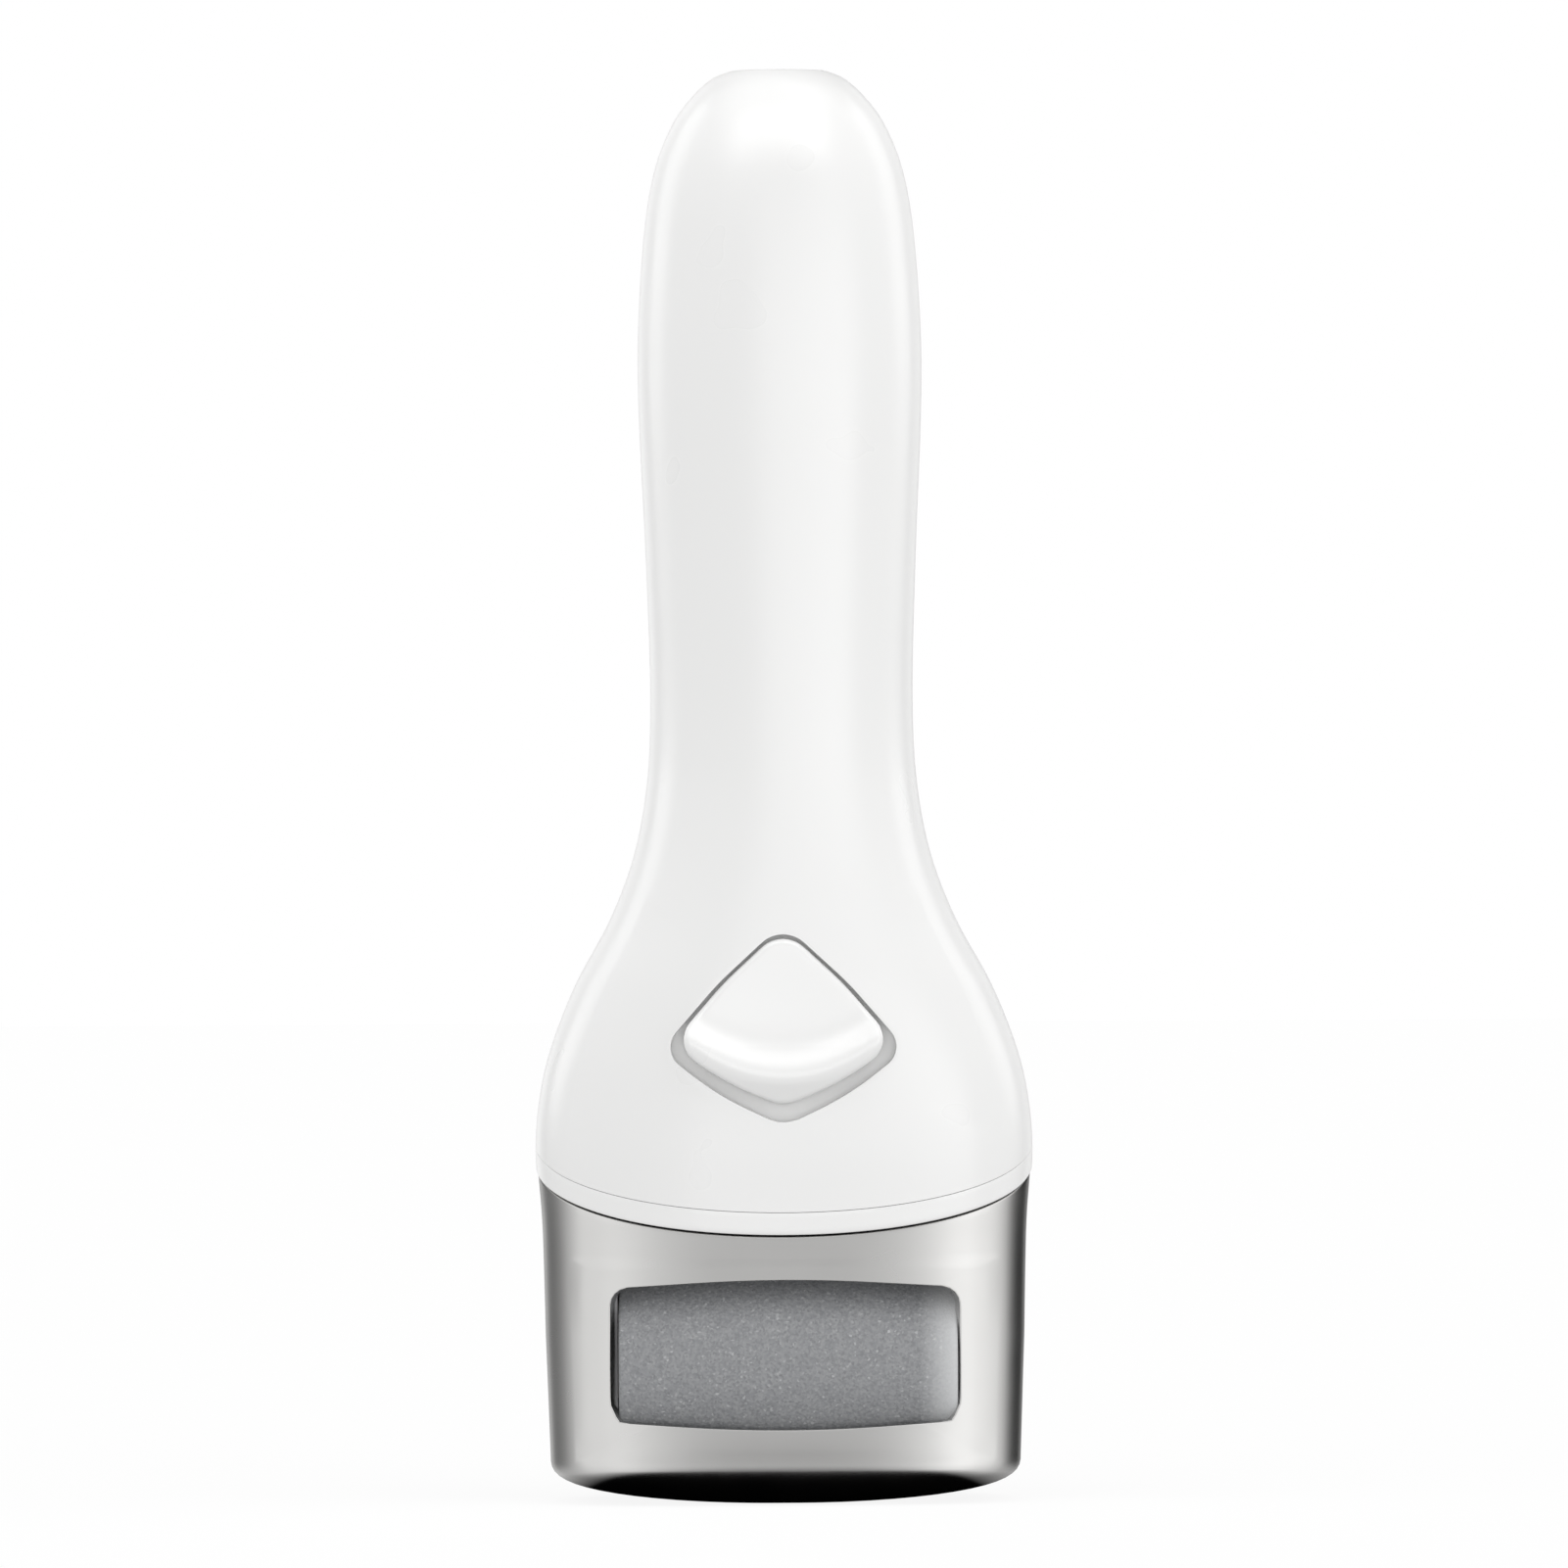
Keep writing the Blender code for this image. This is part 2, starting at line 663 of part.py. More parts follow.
def make_reduction(phase):
    """The large and the small gear in one piece on a common bore."""
    body = gear("reduction_gear", LARGE_TEETH, phase, REDUCTION_AXIS, OUTER_GEARS, bore=0)
    small_layer = (OUTER_GEARS[0] + 0.8, INNER_GEARS[1])
    small = gear("small", SMALL_TEETH, phase, REDUCTION_AXIS, small_layer, bore=0)
    boolean(body, small, "UNION")
    return boolean(body, rod("bore", "X", REDUCTION_AXIS, AXLE_BORE, -FAR, 0, 12))


def make_motor_plate():
    """The inner plate, which carries the motor and the reduction axle."""
    outline = filleted(
        [
            (-10.3, 31.8, 1.5),
            (3.6, 31.8, 1.0),
            (5.8, 27.6, 1.0),
            (10.9, 27.6, 1.5),
            (11.5, 44.0, 20.0),
            (11.5, 57.0, 2.0),
            (-10.3, 57.0, 2.0),
        ],
        steps=2,
    )
    plate = prism("motor_plate", outline, "X", -18.6, -17.1)
    boolean(plate, rod("shaft_hole", "X", MOTOR_AXIS, 3.0, -FAR, 0, 16))
    boolean(plate, rod("axle_hole", "X", REDUCTION_AXIS, AXLE_BORE, -FAR, 0, 12))
    for centre in CHASSIS_SCREWS:
        boolean(plate, rod("screw_hole", "X", centre, AXLE_BORE, -FAR, 0, 12))
    return plate


def make_chassis():
    """The outer plate around the large gear, with a tongue that carries the idler."""
    outline = filleted(
        [
            (-3.4, 23.6, 1.5),
            (4.5, 23.6, 1.5),
            (9.8, 27.2, 1.2),
            (10.0, 31.0, 1.5),
            (8.8, 35.0, 2.0),
            (8.8, 45.0, 2.5),
            (6.5, 51.4, 2.0),
            (-6.5, 51.4, 2.0),
            (-8.8, 46.0, 2.5),
            (-8.8, 30.0, 2.5),
        ],
        steps=2,
    )
    plate = prism("gear_chassis", outline, "X", OUTER_GEARS[0] - 0.1, OUTER_GEARS[1] + 0.1)
    boolean(plate, rod("large_gap", "X", REDUCTION_AXIS, 7.7, -FAR, 0, 24))
    boolean(plate, rod("pinion_gap", "X", MOTOR_AXIS, 4.1, -FAR, 0, 18))
    boolean(plate, rod("idler_hole", "X", IDLER_AXIS, AXLE_BORE, -FAR, 0, 12))
    for centre in CHASSIS_SCREWS:
        boolean(plate, rod("screw_hole", "X", centre, AXLE_BORE, -FAR, 0, 12))
    return plate


def make_gear_cover():
    """A thin cap over the large gear and the pinion."""
    lean = heading(REDUCTION_AXIS, MOTOR_AXIS)
    outline = []
    for centre, radius, start in ((REDUCTION_AXIS, 7.4, 100), (MOTOR_AXIS, 4.4, -80)):
        for degrees in steps_between(start, start + 160, 12):
            outline.append(around(centre, radius, lean + math.radians(degrees)))
    return prism("gear_cover", outline, "X", -24.9, -24.1)


def make_fixed_drive():
    """Plates, axles, spacers and screws that stay still in the handle."""
    make_motor_plate()
    make_chassis()
    make_gear_cover()
    rod("reduction_axle", "X", REDUCTION_AXIS, AXLE_RADIUS, -23.8, -17.3, 16)
    rod("idler_axle", "X", IDLER_AXIS, AXLE_RADIUS, -23.8, -19.3, 16)
    for i, centre in enumerate(CHASSIS_SCREWS):
        tube(f"chassis_spacer_{i + 1}", "X", centre, AXLE_BORE, 1.9, -21.5, -18.9, 16)
        screw(f"chassis_screw_{i + 1}", "X", centre, -23.9, -24.4, -17.3, head=1.5)


def make_motor():
    """Motor can and end cap. The armature turns inside them."""
    low, high = MOTOR_SPAN
    can_profile = (
        (low, 2.6),
        (low, MOTOR_RADIUS),
        (high, MOTOR_RADIUS),
        (high, MOTOR_RADIUS - 1.0),
        (low + 1.2, MOTOR_RADIUS - 1.0),
        (low + 1.2, 2.6),
    )
    turned("motor_can", can_profile, "X", MOTOR_AXIS, 28)
    cap_profile = (
        (high + GAP, 1.6),
        (high + GAP, 9.6),
        (high + 2.2, 9.6),
        (high + 2.6, 4.0),
        (high + 2.6, 1.6),
    )
    turned("motor_end_cap", cap_profile, "X", MOTOR_AXIS, 28)


def make_armature():
    low, high = MOTOR_SPAN
    profile = (
        (OUTER_GEARS[0], 0),
        (OUTER_GEARS[0], AXLE_RADIUS),
        (low + 2.0, AXLE_RADIUS),
        (low + 2.0, 8.2),
        (high - 3.0, 8.2),
        (high - 3.0, 3.2),
        (high - 0.4, 3.2),
        (high - 0.4, AXLE_RADIUS),
        (high + 2.2, AXLE_RADIUS),
        (high + 2.2, 0),
    )
    return turned("motor_armature", profile, "X", MOTOR_AXIS, 20)


# Roller -------------------------------------------------------------------------------
def sleeve_radius(x):
    return ROLLER_RADIUS - SLEEVE_CROWN * (x / SLEEVE_HALF) ** 2


def make_sleeve():
    outer = [(x, sleeve_radius(x)) for x in steps_between(-SLEEVE_HALF, SLEEVE_HALF, 6)]
    profile = [(-SLEEVE_HALF, SLEEVE_BORE), *outer, (SLEEVE_HALF, SLEEVE_BORE)]
    return turned("abrasive_sleeve", profile, "X", ROLLER_AXIS, 32)


def end_cap(name, inner, outer):
    """A disc that closes the roller: inner is the face at the core, outer the free face."""
    side = 1 if outer > inner else -1
    profile = (
        (inner, AXLE_BORE + 0.1),
        (inner, CAP_RADIUS),
        (outer - side * 0.6, CAP_RADIUS - 0.2),
        (outer, CAP_RADIUS - 0.9),
        (outer, AXLE_BORE + 0.1),
    )
    return turned(name, profile, "X", ROLLER_AXIS, 28)


def make_roller():
    """Sleeve, core, end caps and the axle that turns in the carrier's bushes."""
    half = SLEEVE_HALF - 0.1
    make_sleeve()
    tube("roller_core", "X", ROLLER_AXIS, AXLE_BORE + 0.1, CORE_RADIUS, -half, half, 28)
    end_cap("roller_cap_left", -SLEEVE_HALF - GAP, ROLLER_LEFT)
    end_cap("roller_cap_right", SLEEVE_HALF + GAP, ROLLER_RIGHT)
    rod("roller_axle", "X", ROLLER_AXIS, AXLE_RADIUS + 0.2, *AXLE_SPAN, 16)


def window_outline():
    """Barrel shaped: its long sides bow outward and it narrows a little at the foot."""
    top, bottom = WINDOW_TOP - WINDOW_BULGE, WINDOW_BOTTOM + WINDOW_BULGE
    step_in, step_up = WINDOW_STEP
    bow = 180.0
    right = [
        (WINDOW_HALF_WIDTH, top, WINDOW_TOP_RADIUS),
        (WINDOW_HALF_WIDTH, bottom + step_up, WINDOW_STEP_RADIUS),
        (WINDOW_HALF_WIDTH - step_in, bottom, WINDOW_STEP_RADIUS),
    ]
    left = [(-x, z, radius) for x, z, radius in reversed(right)]
    corners = [(0.0, WINDOW_TOP, bow), *right, (0.0, WINDOW_BOTTOM, bow), *left]
    return filleted(corners, steps=4)


def make_housing():
    """The silver head: a closed foot, thin walls, the roller window and two screw seats."""
    foot = [FOOT_HEIGHT * share for share in (0.0, 0.04, 0.14, 0.35, 0.65, 1.0)]
    housing = outer_loft("head_housing", foot + [17.0, 30.0, 42.0])
    inside = [2.0 + FOOT_HEIGHT * share for share in (0.0, 0.2, 0.6, 1.0)]
    hollow = outer_loft("hollow", inside + [22.0, 45.0], inset=WALL, lift=2.0)
    boolean(housing, hollow)
    boolean(housing, seam_side("above", -GAP / 2, 60.0))
    boolean(housing, prism("window", window_outline(), "Y", -FAR, -5.0))
    for x, z in CARRIER_SCREWS:
        boolean(housing, rod("clearance", "Y", (x, z), AXLE_BORE, 5.0, FAR, 16))
        seat = back_surface(x, z) - CARRIER_SEAT_DEPTH
        boolean(housing, rod("seat", "Y", (x, z), CARRIER_SEAT_RADIUS, seat, FAR, 16))
    return housing


def make_carrier():
    """The frame that holds the roller: two arms on a back plate with screw posts."""
    frame = box("roller_carrier", (-22.2, 21.2), (8.6, 9.8), (10.8, 21.2))
    for low, high in (ARM_LEFT, ARM_RIGHT):
        outline = filleted(
            [(-7.0, 12.0, 3.0), (8.8, 11.0, 0.6), (8.8, 21.0, 0.6), (-7.0, 21.0, 3.0)], steps=2
        )
        boolean(frame, prism("arm", outline, "X", low, high), "UNION")
        boolean(frame, rod("seat", "X", ROLLER_AXIS, BUSH_RADIUS + GAP, low - 1, high + 1, 16))
    for x, z in CARRIER_SCREWS:
        boolean(frame, rod("post", "Y", (x, z), POST_RADIUS, 9.0, 12.5, 14), "UNION")
        boolean(frame, rod("pilot", "Y", (x, z), AXLE_BORE, 5.0, 20.0, 12))
    return frame


def make_head():
    """Housing and carrier, the bushes in its arms, and the screws that hold it."""
    make_housing()
    make_carrier()
    for name, (low, high) in (("roller_bush_left", ARM_LEFT), ("roller_bush_right", ARM_RIGHT)):
        tube(name, "X", ROLLER_AXIS, BUSH_BORE, BUSH_RADIUS, low, high, 20)
    for i, (x, z) in enumerate(CARRIER_SCREWS):
        seat = back_surface(x, z) - CARRIER_SEAT_DEPTH + GAP
        screw(f"carrier_screw_{i + 1}", "Y", (x, z), seat, seat + 0.7, 9.0, head=1.9)


# Power --------------------------------------------------------------------------------
def make_cradle():
    """A half tube behind the cell."""
    cradle = tube("battery_cradle", "Z", (0, 0), CELL_RADIUS + GAP, 10.9, 80.0, 133.0, 28)
    return boolean(cradle, box("front", (-20, 20), (-20, 2.0), (60, 150)))


def make_socket():
    """The charging port's metal shell, open at the flat end of the handle."""
    wall = 0.36
    low, high = 163.4, LENGTH - 0.4
    shell = prism("charge_socket", port_outline(GAP), "Z", low, high)
    mouth = prism("mouth", port_outline(GAP + wall), "Z", low + 2 * wall, LENGTH + FAR)
    return boolean(shell, mouth)


# Plain blocks by name: their limits along X, Y and Z
BLOCKS = {
    "battery_tab_top": ((-3.0, 3.0), (-3.0, 3.0), (CELL_SPAN[1] + GAP, CELL_SPAN[1] + 0.8)),
    "battery_tab_bottom": ((-3.0, 3.0), (-3.0, 3.0), (CELL_SPAN[0] - 0.8, CELL_SPAN[0] - GAP)),
    "circuit_board": ((-12.0, 12.0), (5.0, 6.2), (58.4, 71.4)),
    "charge_board": ((-6.0, 6.0), (1.8, 3.0), (150.6, 166.0)),
    "socket_tongue": ((-2.6, 2.6), (-0.35, 0.35), (164.5, 170.4)),
    "switch_stem": ((-1.6, 1.6), (BUTTON_BACK + GAP, -9.0), (56.4, 60.4)),
}


def power_pieces():
    """The cell in its cradle, the port, and the blocks: tabs, boards, tongue and stem."""
    rod("battery_cell", "Z", (0, 0), CELL_RADIUS, *CELL_SPAN, 28)
    make_cradle()
    make_socket()
    for name, limits in BLOCKS.items():
        box(name, *limits)


# Routes of the internal wires
WIRES = {
    "wire_cell_plus": (
        (2.4, 0.0, 140.6),
        (8.0, -2.2, 142.0),
        (10.7, -3.2, 138.5),
        (10.7, -3.4, 110.0),
        (10.7, -3.2, 80.0),
        (10.2, 1.5, 73.5),
        (8.0, 5.6, 72.1),
    ),
    "wire_cell_minus": ((-2.0, 0.0, 72.7), (-4.0, 1.5, 71.6), (-6.5, 3.2, 70.0), (-8.0, 4.2, 68.5)),
    "wire_charge": ((4.8, 2.4, 150.2), (5.6, 1.8, 147.0), (5.0, 1.0, 143.0), (2.4, 1.6, 140.5)),
    "wire_motor": ((7.6, 5.6, 58.0), (9.8, 5.0, 56.5), (11.2, 4.6, 53.0), (9.4, 4.2, 50.0)),
}


def make_wire(name, route):
    """A thin wire along a smooth curve through its route's points."""
    curve = bpy.data.curves.new(name, "CURVE")
    curve.dimensions = "3D"
    curve.bevel_depth = 0.55 * MM
    curve.bevel_resolution = 2
    curve.use_fill_caps = True
    rows = [(float(i), *spot) for i, spot in enumerate(route)]
    count = 3 * (len(route) - 1)
    spots = [through(rows, (len(route) - 1) * i / count) for i in range(count + 1)]
    spline = curve.splines.new("POLY")
    spline.points.add(count)
    for point, spot in zip(spline.points, spots):
        point.co = (*(value * MM for value in spot), 1.0)
    obj = bpy.data.objects.new(name, curve)
    bpy.context.collection.objects.link(obj)
    return obj


# Assembly -----------------------------------------------------------------------------
def dress(obj):
    """A material of its own for each piece, and smooth shading with crisp edges."""
    colour, roughness, metallic = LOOKS[LOOK_OF.get(obj.name, "steel")]
    material = bpy.data.materials.new(obj.name)
    material.use_nodes = True
    shader = material.node_tree.nodes["Principled BSDF"]
    shader.inputs["Base Color"].default_value = (*colour, 1.0)
    shader.inputs["Roughness"].default_value = roughness
    shader.inputs["Metallic"].default_value = metallic
    obj.data.materials.clear()
    obj.data.materials.append(material)
    if obj.type == "MESH":
        obj.data.shade_smooth()
        obj.data.set_sharp_from_angle(angle=math.radians(35))


def hang(obj, parent):
    obj.parent = parent
    obj.matrix_parent_inverse = parent.matrix_world.inverted()


def pivot(name, spot, pieces):
    """An empty on a joint's axis, with the body's pieces under it."""
    empty = bpy.data.objects.new(name, None)
    empty.empty_display_size = 0.005
    empty.location = Vector(spot) * MM
    bpy.context.collection.objects.link(empty)
    bpy.context.view_layer.update()
    for piece in pieces:
        hang(bpy.data.objects[piece], empty)
    return empty


def make_joints():
    """The roller turns in the head. The handle lifts off with its gears, motor and switch."""
    spots = {
        "roller_spin": (0, *ROLLER_AXIS),
        "idler_spin": (0, *IDLER_AXIS),
        "reduction_spin": (0, *REDUCTION_AXIS),
        "motor_spin": (0, *MOTOR_AXIS),
        "switch_slide": (0, BUTTON_BACK, BUTTON_SIDE),
    }
    for name, spot in spots.items():
        pivot(name, spot, MOVING[name])
    stays = (*HEAD, "roller_spin")
    lifts = [obj.name for obj in bpy.data.objects if not obj.parent and obj.name not in stays]
    pivot("head_release", (0, 0, SEAM_LOW), lifts)


def make_drive():
    """Both plates and what they carry, and the gears in mesh from the roller to the motor."""
    roller_phase, idler_phase, small_phase, pinion_phase = gear_phases()
    make_fixed_drive()
    make_motor()
    make_armature()
    pinion_layer = (OUTER_GEARS[0] + 0.2, OUTER_GEARS[1])
    gear("motor_pinion", PINION_TEETH, pinion_phase, MOTOR_AXIS, pinion_layer, AXLE_RADIUS + 0.2)
    make_reduction(small_phase)
    gear("idler_gear", IDLER_TEETH, idler_phase, IDLER_AXIS, INNER_GEARS)
    gear("roller_gear", ROLLER_TEETH, roller_phase, ROLLER_AXIS, INNER_GEARS, AXLE_BORE + 0.1)


def build():
    clear_scene()
    make_shells()
    make_shell_screws()
    make_collar()
    make_seal()
    make_tray()
    make_switch_housing()
    make_button()
    make_drive()
    make_roller()
    make_head()
    power_pieces()
    for name, route in WIRES.items():
        make_wire(name, route)
    for obj in list(bpy.data.objects):
        dress(obj)
    make_joints()


build()
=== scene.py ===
"""Looks of the electric callus remover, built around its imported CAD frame.

The visible shells are rebuilt as fine skins over the same form as the CAD solids, in
millimetres, and scaled to the frame's metres. The front is -Y and the handle points up.
"""

import math
from functools import lru_cache

import bmesh
import bpy
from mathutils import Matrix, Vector, noise


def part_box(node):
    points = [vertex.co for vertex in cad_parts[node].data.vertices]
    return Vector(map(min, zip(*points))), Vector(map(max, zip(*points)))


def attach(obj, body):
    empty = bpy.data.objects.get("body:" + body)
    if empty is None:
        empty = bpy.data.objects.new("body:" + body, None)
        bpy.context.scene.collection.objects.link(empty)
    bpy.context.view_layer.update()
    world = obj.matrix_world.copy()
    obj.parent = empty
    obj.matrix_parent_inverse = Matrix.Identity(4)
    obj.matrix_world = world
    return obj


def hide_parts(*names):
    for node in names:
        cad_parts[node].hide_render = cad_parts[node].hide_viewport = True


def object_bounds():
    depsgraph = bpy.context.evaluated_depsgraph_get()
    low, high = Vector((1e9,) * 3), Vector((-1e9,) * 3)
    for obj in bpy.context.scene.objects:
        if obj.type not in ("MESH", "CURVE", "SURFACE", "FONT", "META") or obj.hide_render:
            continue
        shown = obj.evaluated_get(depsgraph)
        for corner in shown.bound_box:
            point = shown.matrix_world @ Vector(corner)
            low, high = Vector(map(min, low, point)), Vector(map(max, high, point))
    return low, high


MM = 0.001
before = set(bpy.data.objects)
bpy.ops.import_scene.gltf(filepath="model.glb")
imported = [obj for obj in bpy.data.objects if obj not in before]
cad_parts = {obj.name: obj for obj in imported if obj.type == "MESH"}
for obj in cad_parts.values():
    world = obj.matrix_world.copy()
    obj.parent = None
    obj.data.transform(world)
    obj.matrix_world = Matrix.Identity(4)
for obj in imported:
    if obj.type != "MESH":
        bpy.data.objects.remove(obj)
cad_low, cad_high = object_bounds()


def low_mm(node):
    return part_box(node)[0] / MM


def high_mm(node):
    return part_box(node)[1] / MM


# Form, the same as the CAD solids ------------------------------------------------------
LENGTH = cad_high.z / MM
WALL = 1.7
SHELL_GAP = 0.07
SEAM_GAP = 0.12
LIP_GAP = 0.03
FRONT, BACK = -1, 1
# height, half width, depth to the front, depth to the back
STATIONS = (
    (5.5, 28.3, 14.8, 15.0),
    (17.0, 28.7, 15.3, 16.0),
    (34.0, 29.35, 16.4, 17.0),
    (42.0, 29.9, 17.0, 17.5),
    (48.0, 29.5, 17.2, 17.6),
    (54.0, 28.2, 17.2, 17.4),
    (62.0, 25.1, 16.8, 16.9),
    (70.0, 20.8, 16.0, 16.2),
    (78.0, 17.8, 15.2, 15.4),
    (87.0, 16.2, 14.5, 14.8),
    (97.0, 15.8, 14.2, 14.5),
    (112.0, 16.2, 14.3, 14.6),
    (136.0, 17.1, 14.8, 15.0),
    (151.0, 16.4, 14.4, 14.6),
    (160.0, 15.0, 13.3, 13.5),
    (166.0, 12.6, 11.4, 11.6),
    (169.5, 9.9, 9.3, 9.4),
    (171.3, 7.7, 7.4, 7.4),
    (LENGTH, 5.9, 5.8, 5.8),
)
HEAD_SQUARENESS = 3.2
HANDLE_SQUARENESS = 2.2
SQUARE_UP_TO = 34.0
ROUND_FROM = 87.0
FOOT_HEIGHT = 5.5
FOOT_ROUND = 4.3
FOOT_HALF_WIDTH = 5.0
FOOT_HALF_DEPTH = 7.0

SEAM_LOW = 32.3
SEAM_RISE = 8.1
SEAM_HALF_WIDTH = 29.9
COLLAR_HEIGHT = 2.8

WINDOW_HALF_WIDTH = 20.9
WINDOW_TOP = 27.3
WINDOW_BOTTOM = 8.75
WINDOW_BULGE = 1.25
WINDOW_STEP = (1.0, 2.2)
# Radii of its long sides, its upper corners and the corners of its two steps
WINDOW_ARC, WINDOW_CORNER, STEP_CORNER = 180.0, 2.4, 0.9

# Corners of the recess and of the button before rounding: top, side, bottom, half width
RECESS = (69.6, 54.5, 45.4, 14.65)
BUTTON = (69.1, 55.25, 47.75, 13.35)
# Radii of the kite's top, its foot and its bowed sides, and where along the half width the
# sides bow
KITE_TOP, KITE_FOOT, KITE_BOW = 3.7, 4.6, 36.0
BOW_SHARE = 0.53
TRAY_FRONT = low_mm("switch_tray").y
BUTTON_BACK = high_mm("slide_button").y

SLEEVE_LOW, SLEEVE_HIGH = low_mm("abrasive_sleeve"), high_mm("abrasive_sleeve")
ROLLER_Y = (SLEEVE_LOW.y + SLEEVE_HIGH.y) / 2
ROLLER_Z = (SLEEVE_LOW.z + SLEEVE_HIGH.z) / 2
ROLLER_RADIUS = (SLEEVE_HIGH.z - SLEEVE_LOW.z) / 2
SLEEVE_HALF = SLEEVE_HIGH.x
SLEEVE_CROWN = 1.2
SHELL_SCREWS = ((-17.0, 62.0), (17.0, 62.0), (0.0, 146.0))
CARRIER_SCREWS = ((-14.0, 16.3), (14.0, 16.3))


def hermite(rows, at):
    """Smooth interpolation of rows (position, value, value, ...) at a position."""
    padded = [rows[0], *rows, rows[-1]]
    for i in range(1, len(padded) - 2):
        if at <= padded[i + 1][0]:
            break
    before, low, high, after = padded[i - 1 : i + 3]
    span = high[0] - low[0]
    share = (at - low[0]) / span
    s2, s3 = share**2, share**3
    result = []
    for k in range(1, len(low)):
        rise_low = (high[k] - before[k]) / (high[0] - before[0]) * span
        rise_high = (after[k] - low[k]) / (after[0] - low[0]) * span
        result.append(
            (2 * s3 - 3 * s2 + 1) * low[k]
            + (s3 - 2 * s2 + share) * rise_low
            + (3 * s2 - 2 * s3) * high[k]
            + (s3 - s2) * rise_high
        )
    return result


@lru_cache(maxsize=None)
def section(z):
    """Half width, front depth, back depth and squareness of the form at a height."""
    blend = min(max((z - SQUARE_UP_TO) / (ROUND_FROM - SQUARE_UP_TO), 0.0), 1.0)
    squareness = HEAD_SQUARENESS + (HANDLE_SQUARENESS - HEAD_SQUARENESS) * blend
    if z >= FOOT_HEIGHT:
        return (*hermite(STATIONS, min(z, LENGTH)), squareness)
    _, full_width, front, back = STATIONS[0]
    across = (1 - (1 - z / FOOT_HEIGHT) ** 3) ** (1 / 1.8)
    around = math.sqrt(1 - (1 - min(z / FOOT_ROUND, 1.0)) ** 2)
    width = FOOT_HALF_WIDTH + (full_width - FOOT_HALF_WIDTH) * across
    return (
        width,
        FOOT_HALF_DEPTH + (front - FOOT_HALF_DEPTH) * around,
        FOOT_HALF_DEPTH + (back - FOOT_HALF_DEPTH) * around,
        squareness,
    )


def on_form(x, z, side):
    """The point of the outer form over (x, z), on the front or the back."""
    width, front, back, squareness = section(z)
    depth = front if side == FRONT else back
    share = min(abs(x) / width, 1.0)
    return (x, side * depth * (1 - share**squareness) ** (1 / squareness), z)


def at_angle(angle, z):
    """The point of the outer form at an angle around the section, 0 at +X and 90 at +Y."""
    width, front, back, squareness = section(z)
    c, s = math.cos(angle), math.sin(angle)
    reach = (abs(c) ** squareness + abs(s) ** squareness) ** (-1 / squareness)
    depth = back if s > 0 else front
    return (width * c * reach, depth * s * reach, z)


def seam_height(x):
    return SEAM_LOW + SEAM_RISE * (1 - math.sqrt(max(1 - (x / SEAM_HALF_WIDTH) ** 2, 0.0)))


def seam_at(angle, offset):
    """The height at which the seam, moved up by offset, crosses an angle of the section."""
    z = SEAM_LOW + offset
    for _ in range(12):
        z = 0.5 * (z + seam_height(at_angle(angle, z)[0]) + offset)
    return z


# Outlines ------------------------------------------------------------------------------
def filleted(corners, steps=8):
    """A closed outline through corners (u, v, radius), each rounded by an arc."""
    outline = []
    for i, (u, v, radius) in enumerate(corners):
        here = Vector((u, v))
        before = (Vector(corners[i - 1][:2]) - here).normalized()
        after = (Vector(corners[(i + 1) % len(corners)][:2]) - here).normalized()
        half = before.angle(after) / 2
        middle = here + (before + after).normalized() * (radius / math.sin(half))
        start = here + before * (radius / math.tan(half)) - middle
        sign = 1 if before.cross(after) < 0 else -1
        for k in range(steps + 1):
            angle = sign * (math.pi - 2 * half) * k / steps
            c, s = math.cos(angle), math.sin(angle)
            outline.append((middle.x + start.x * c - start.y * s, middle.y + start.x * s + start.y * c))
    return outline


def kite(corners, side_radius):
    """The switch outline: a kite with rounded corners and slightly bowed sides."""
    top, side, bottom, half_width = corners
    right = [
        (half_width * BOW_SHARE, (top + side) / 2 + 0.4, KITE_BOW),
        (half_width, side, side_radius),
        (half_width * BOW_SHARE, (bottom + side) / 2 - 0.85, KITE_BOW),
    ]
    left = [(-x, z, radius) for x, z, radius in reversed(right)]
    return filleted([(0.0, top, KITE_TOP), *right, (0.0, bottom, KITE_FOOT), *left])


def window_outline():
    """Barrel shaped: its long sides bow outward and it narrows a little at the foot."""
    top, bottom = WINDOW_TOP - WINDOW_BULGE, WINDOW_BOTTOM + WINDOW_BULGE
    step_in, step_up = WINDOW_STEP
    right = [
        (WINDOW_HALF_WIDTH, top, WINDOW_CORNER),
        (WINDOW_HALF_WIDTH, bottom + step_up, STEP_CORNER),
        (WINDOW_HALF_WIDTH - step_in, bottom, STEP_CORNER),
    ]
    left = [(-x, z, radius) for x, z, radius in reversed(right)]
    top_middle, bottom_middle = (0.0, WINDOW_TOP, WINDOW_ARC), (0.0, WINDOW_BOTTOM, WINDOW_ARC)
    return filleted([top_middle, *right, bottom_middle, *left])


def circle(radius, centre=(0.0, 0.0), count=64):
    steps = (2 * math.pi * i / count for i in range(count))
    return [(centre[0] + radius * math.cos(a), centre[1] + radius * math.sin(a)) for a in steps]


def cast(outline, centre, towards):
    """Where the ray from a centre towards a point leaves a closed outline."""
    ray = Vector(towards) - Vector(centre)
    best = None
    for i, start in enumerate(outline):
        a = Vector(outline[i - 1]) - Vector(centre)
        edge = Vector(start) - Vector(centre) - a
        turn = ray.cross(edge)
        if abs(turn) < 1e-12:
            continue
        along = a.cross(edge) / turn
        share = a.cross(ray) / turn
        if along > 0 and -1e-9 <= share <= 1 + 1e-9 and (best is None or along > best):
            best = along
    return Vector(centre) + ray * best


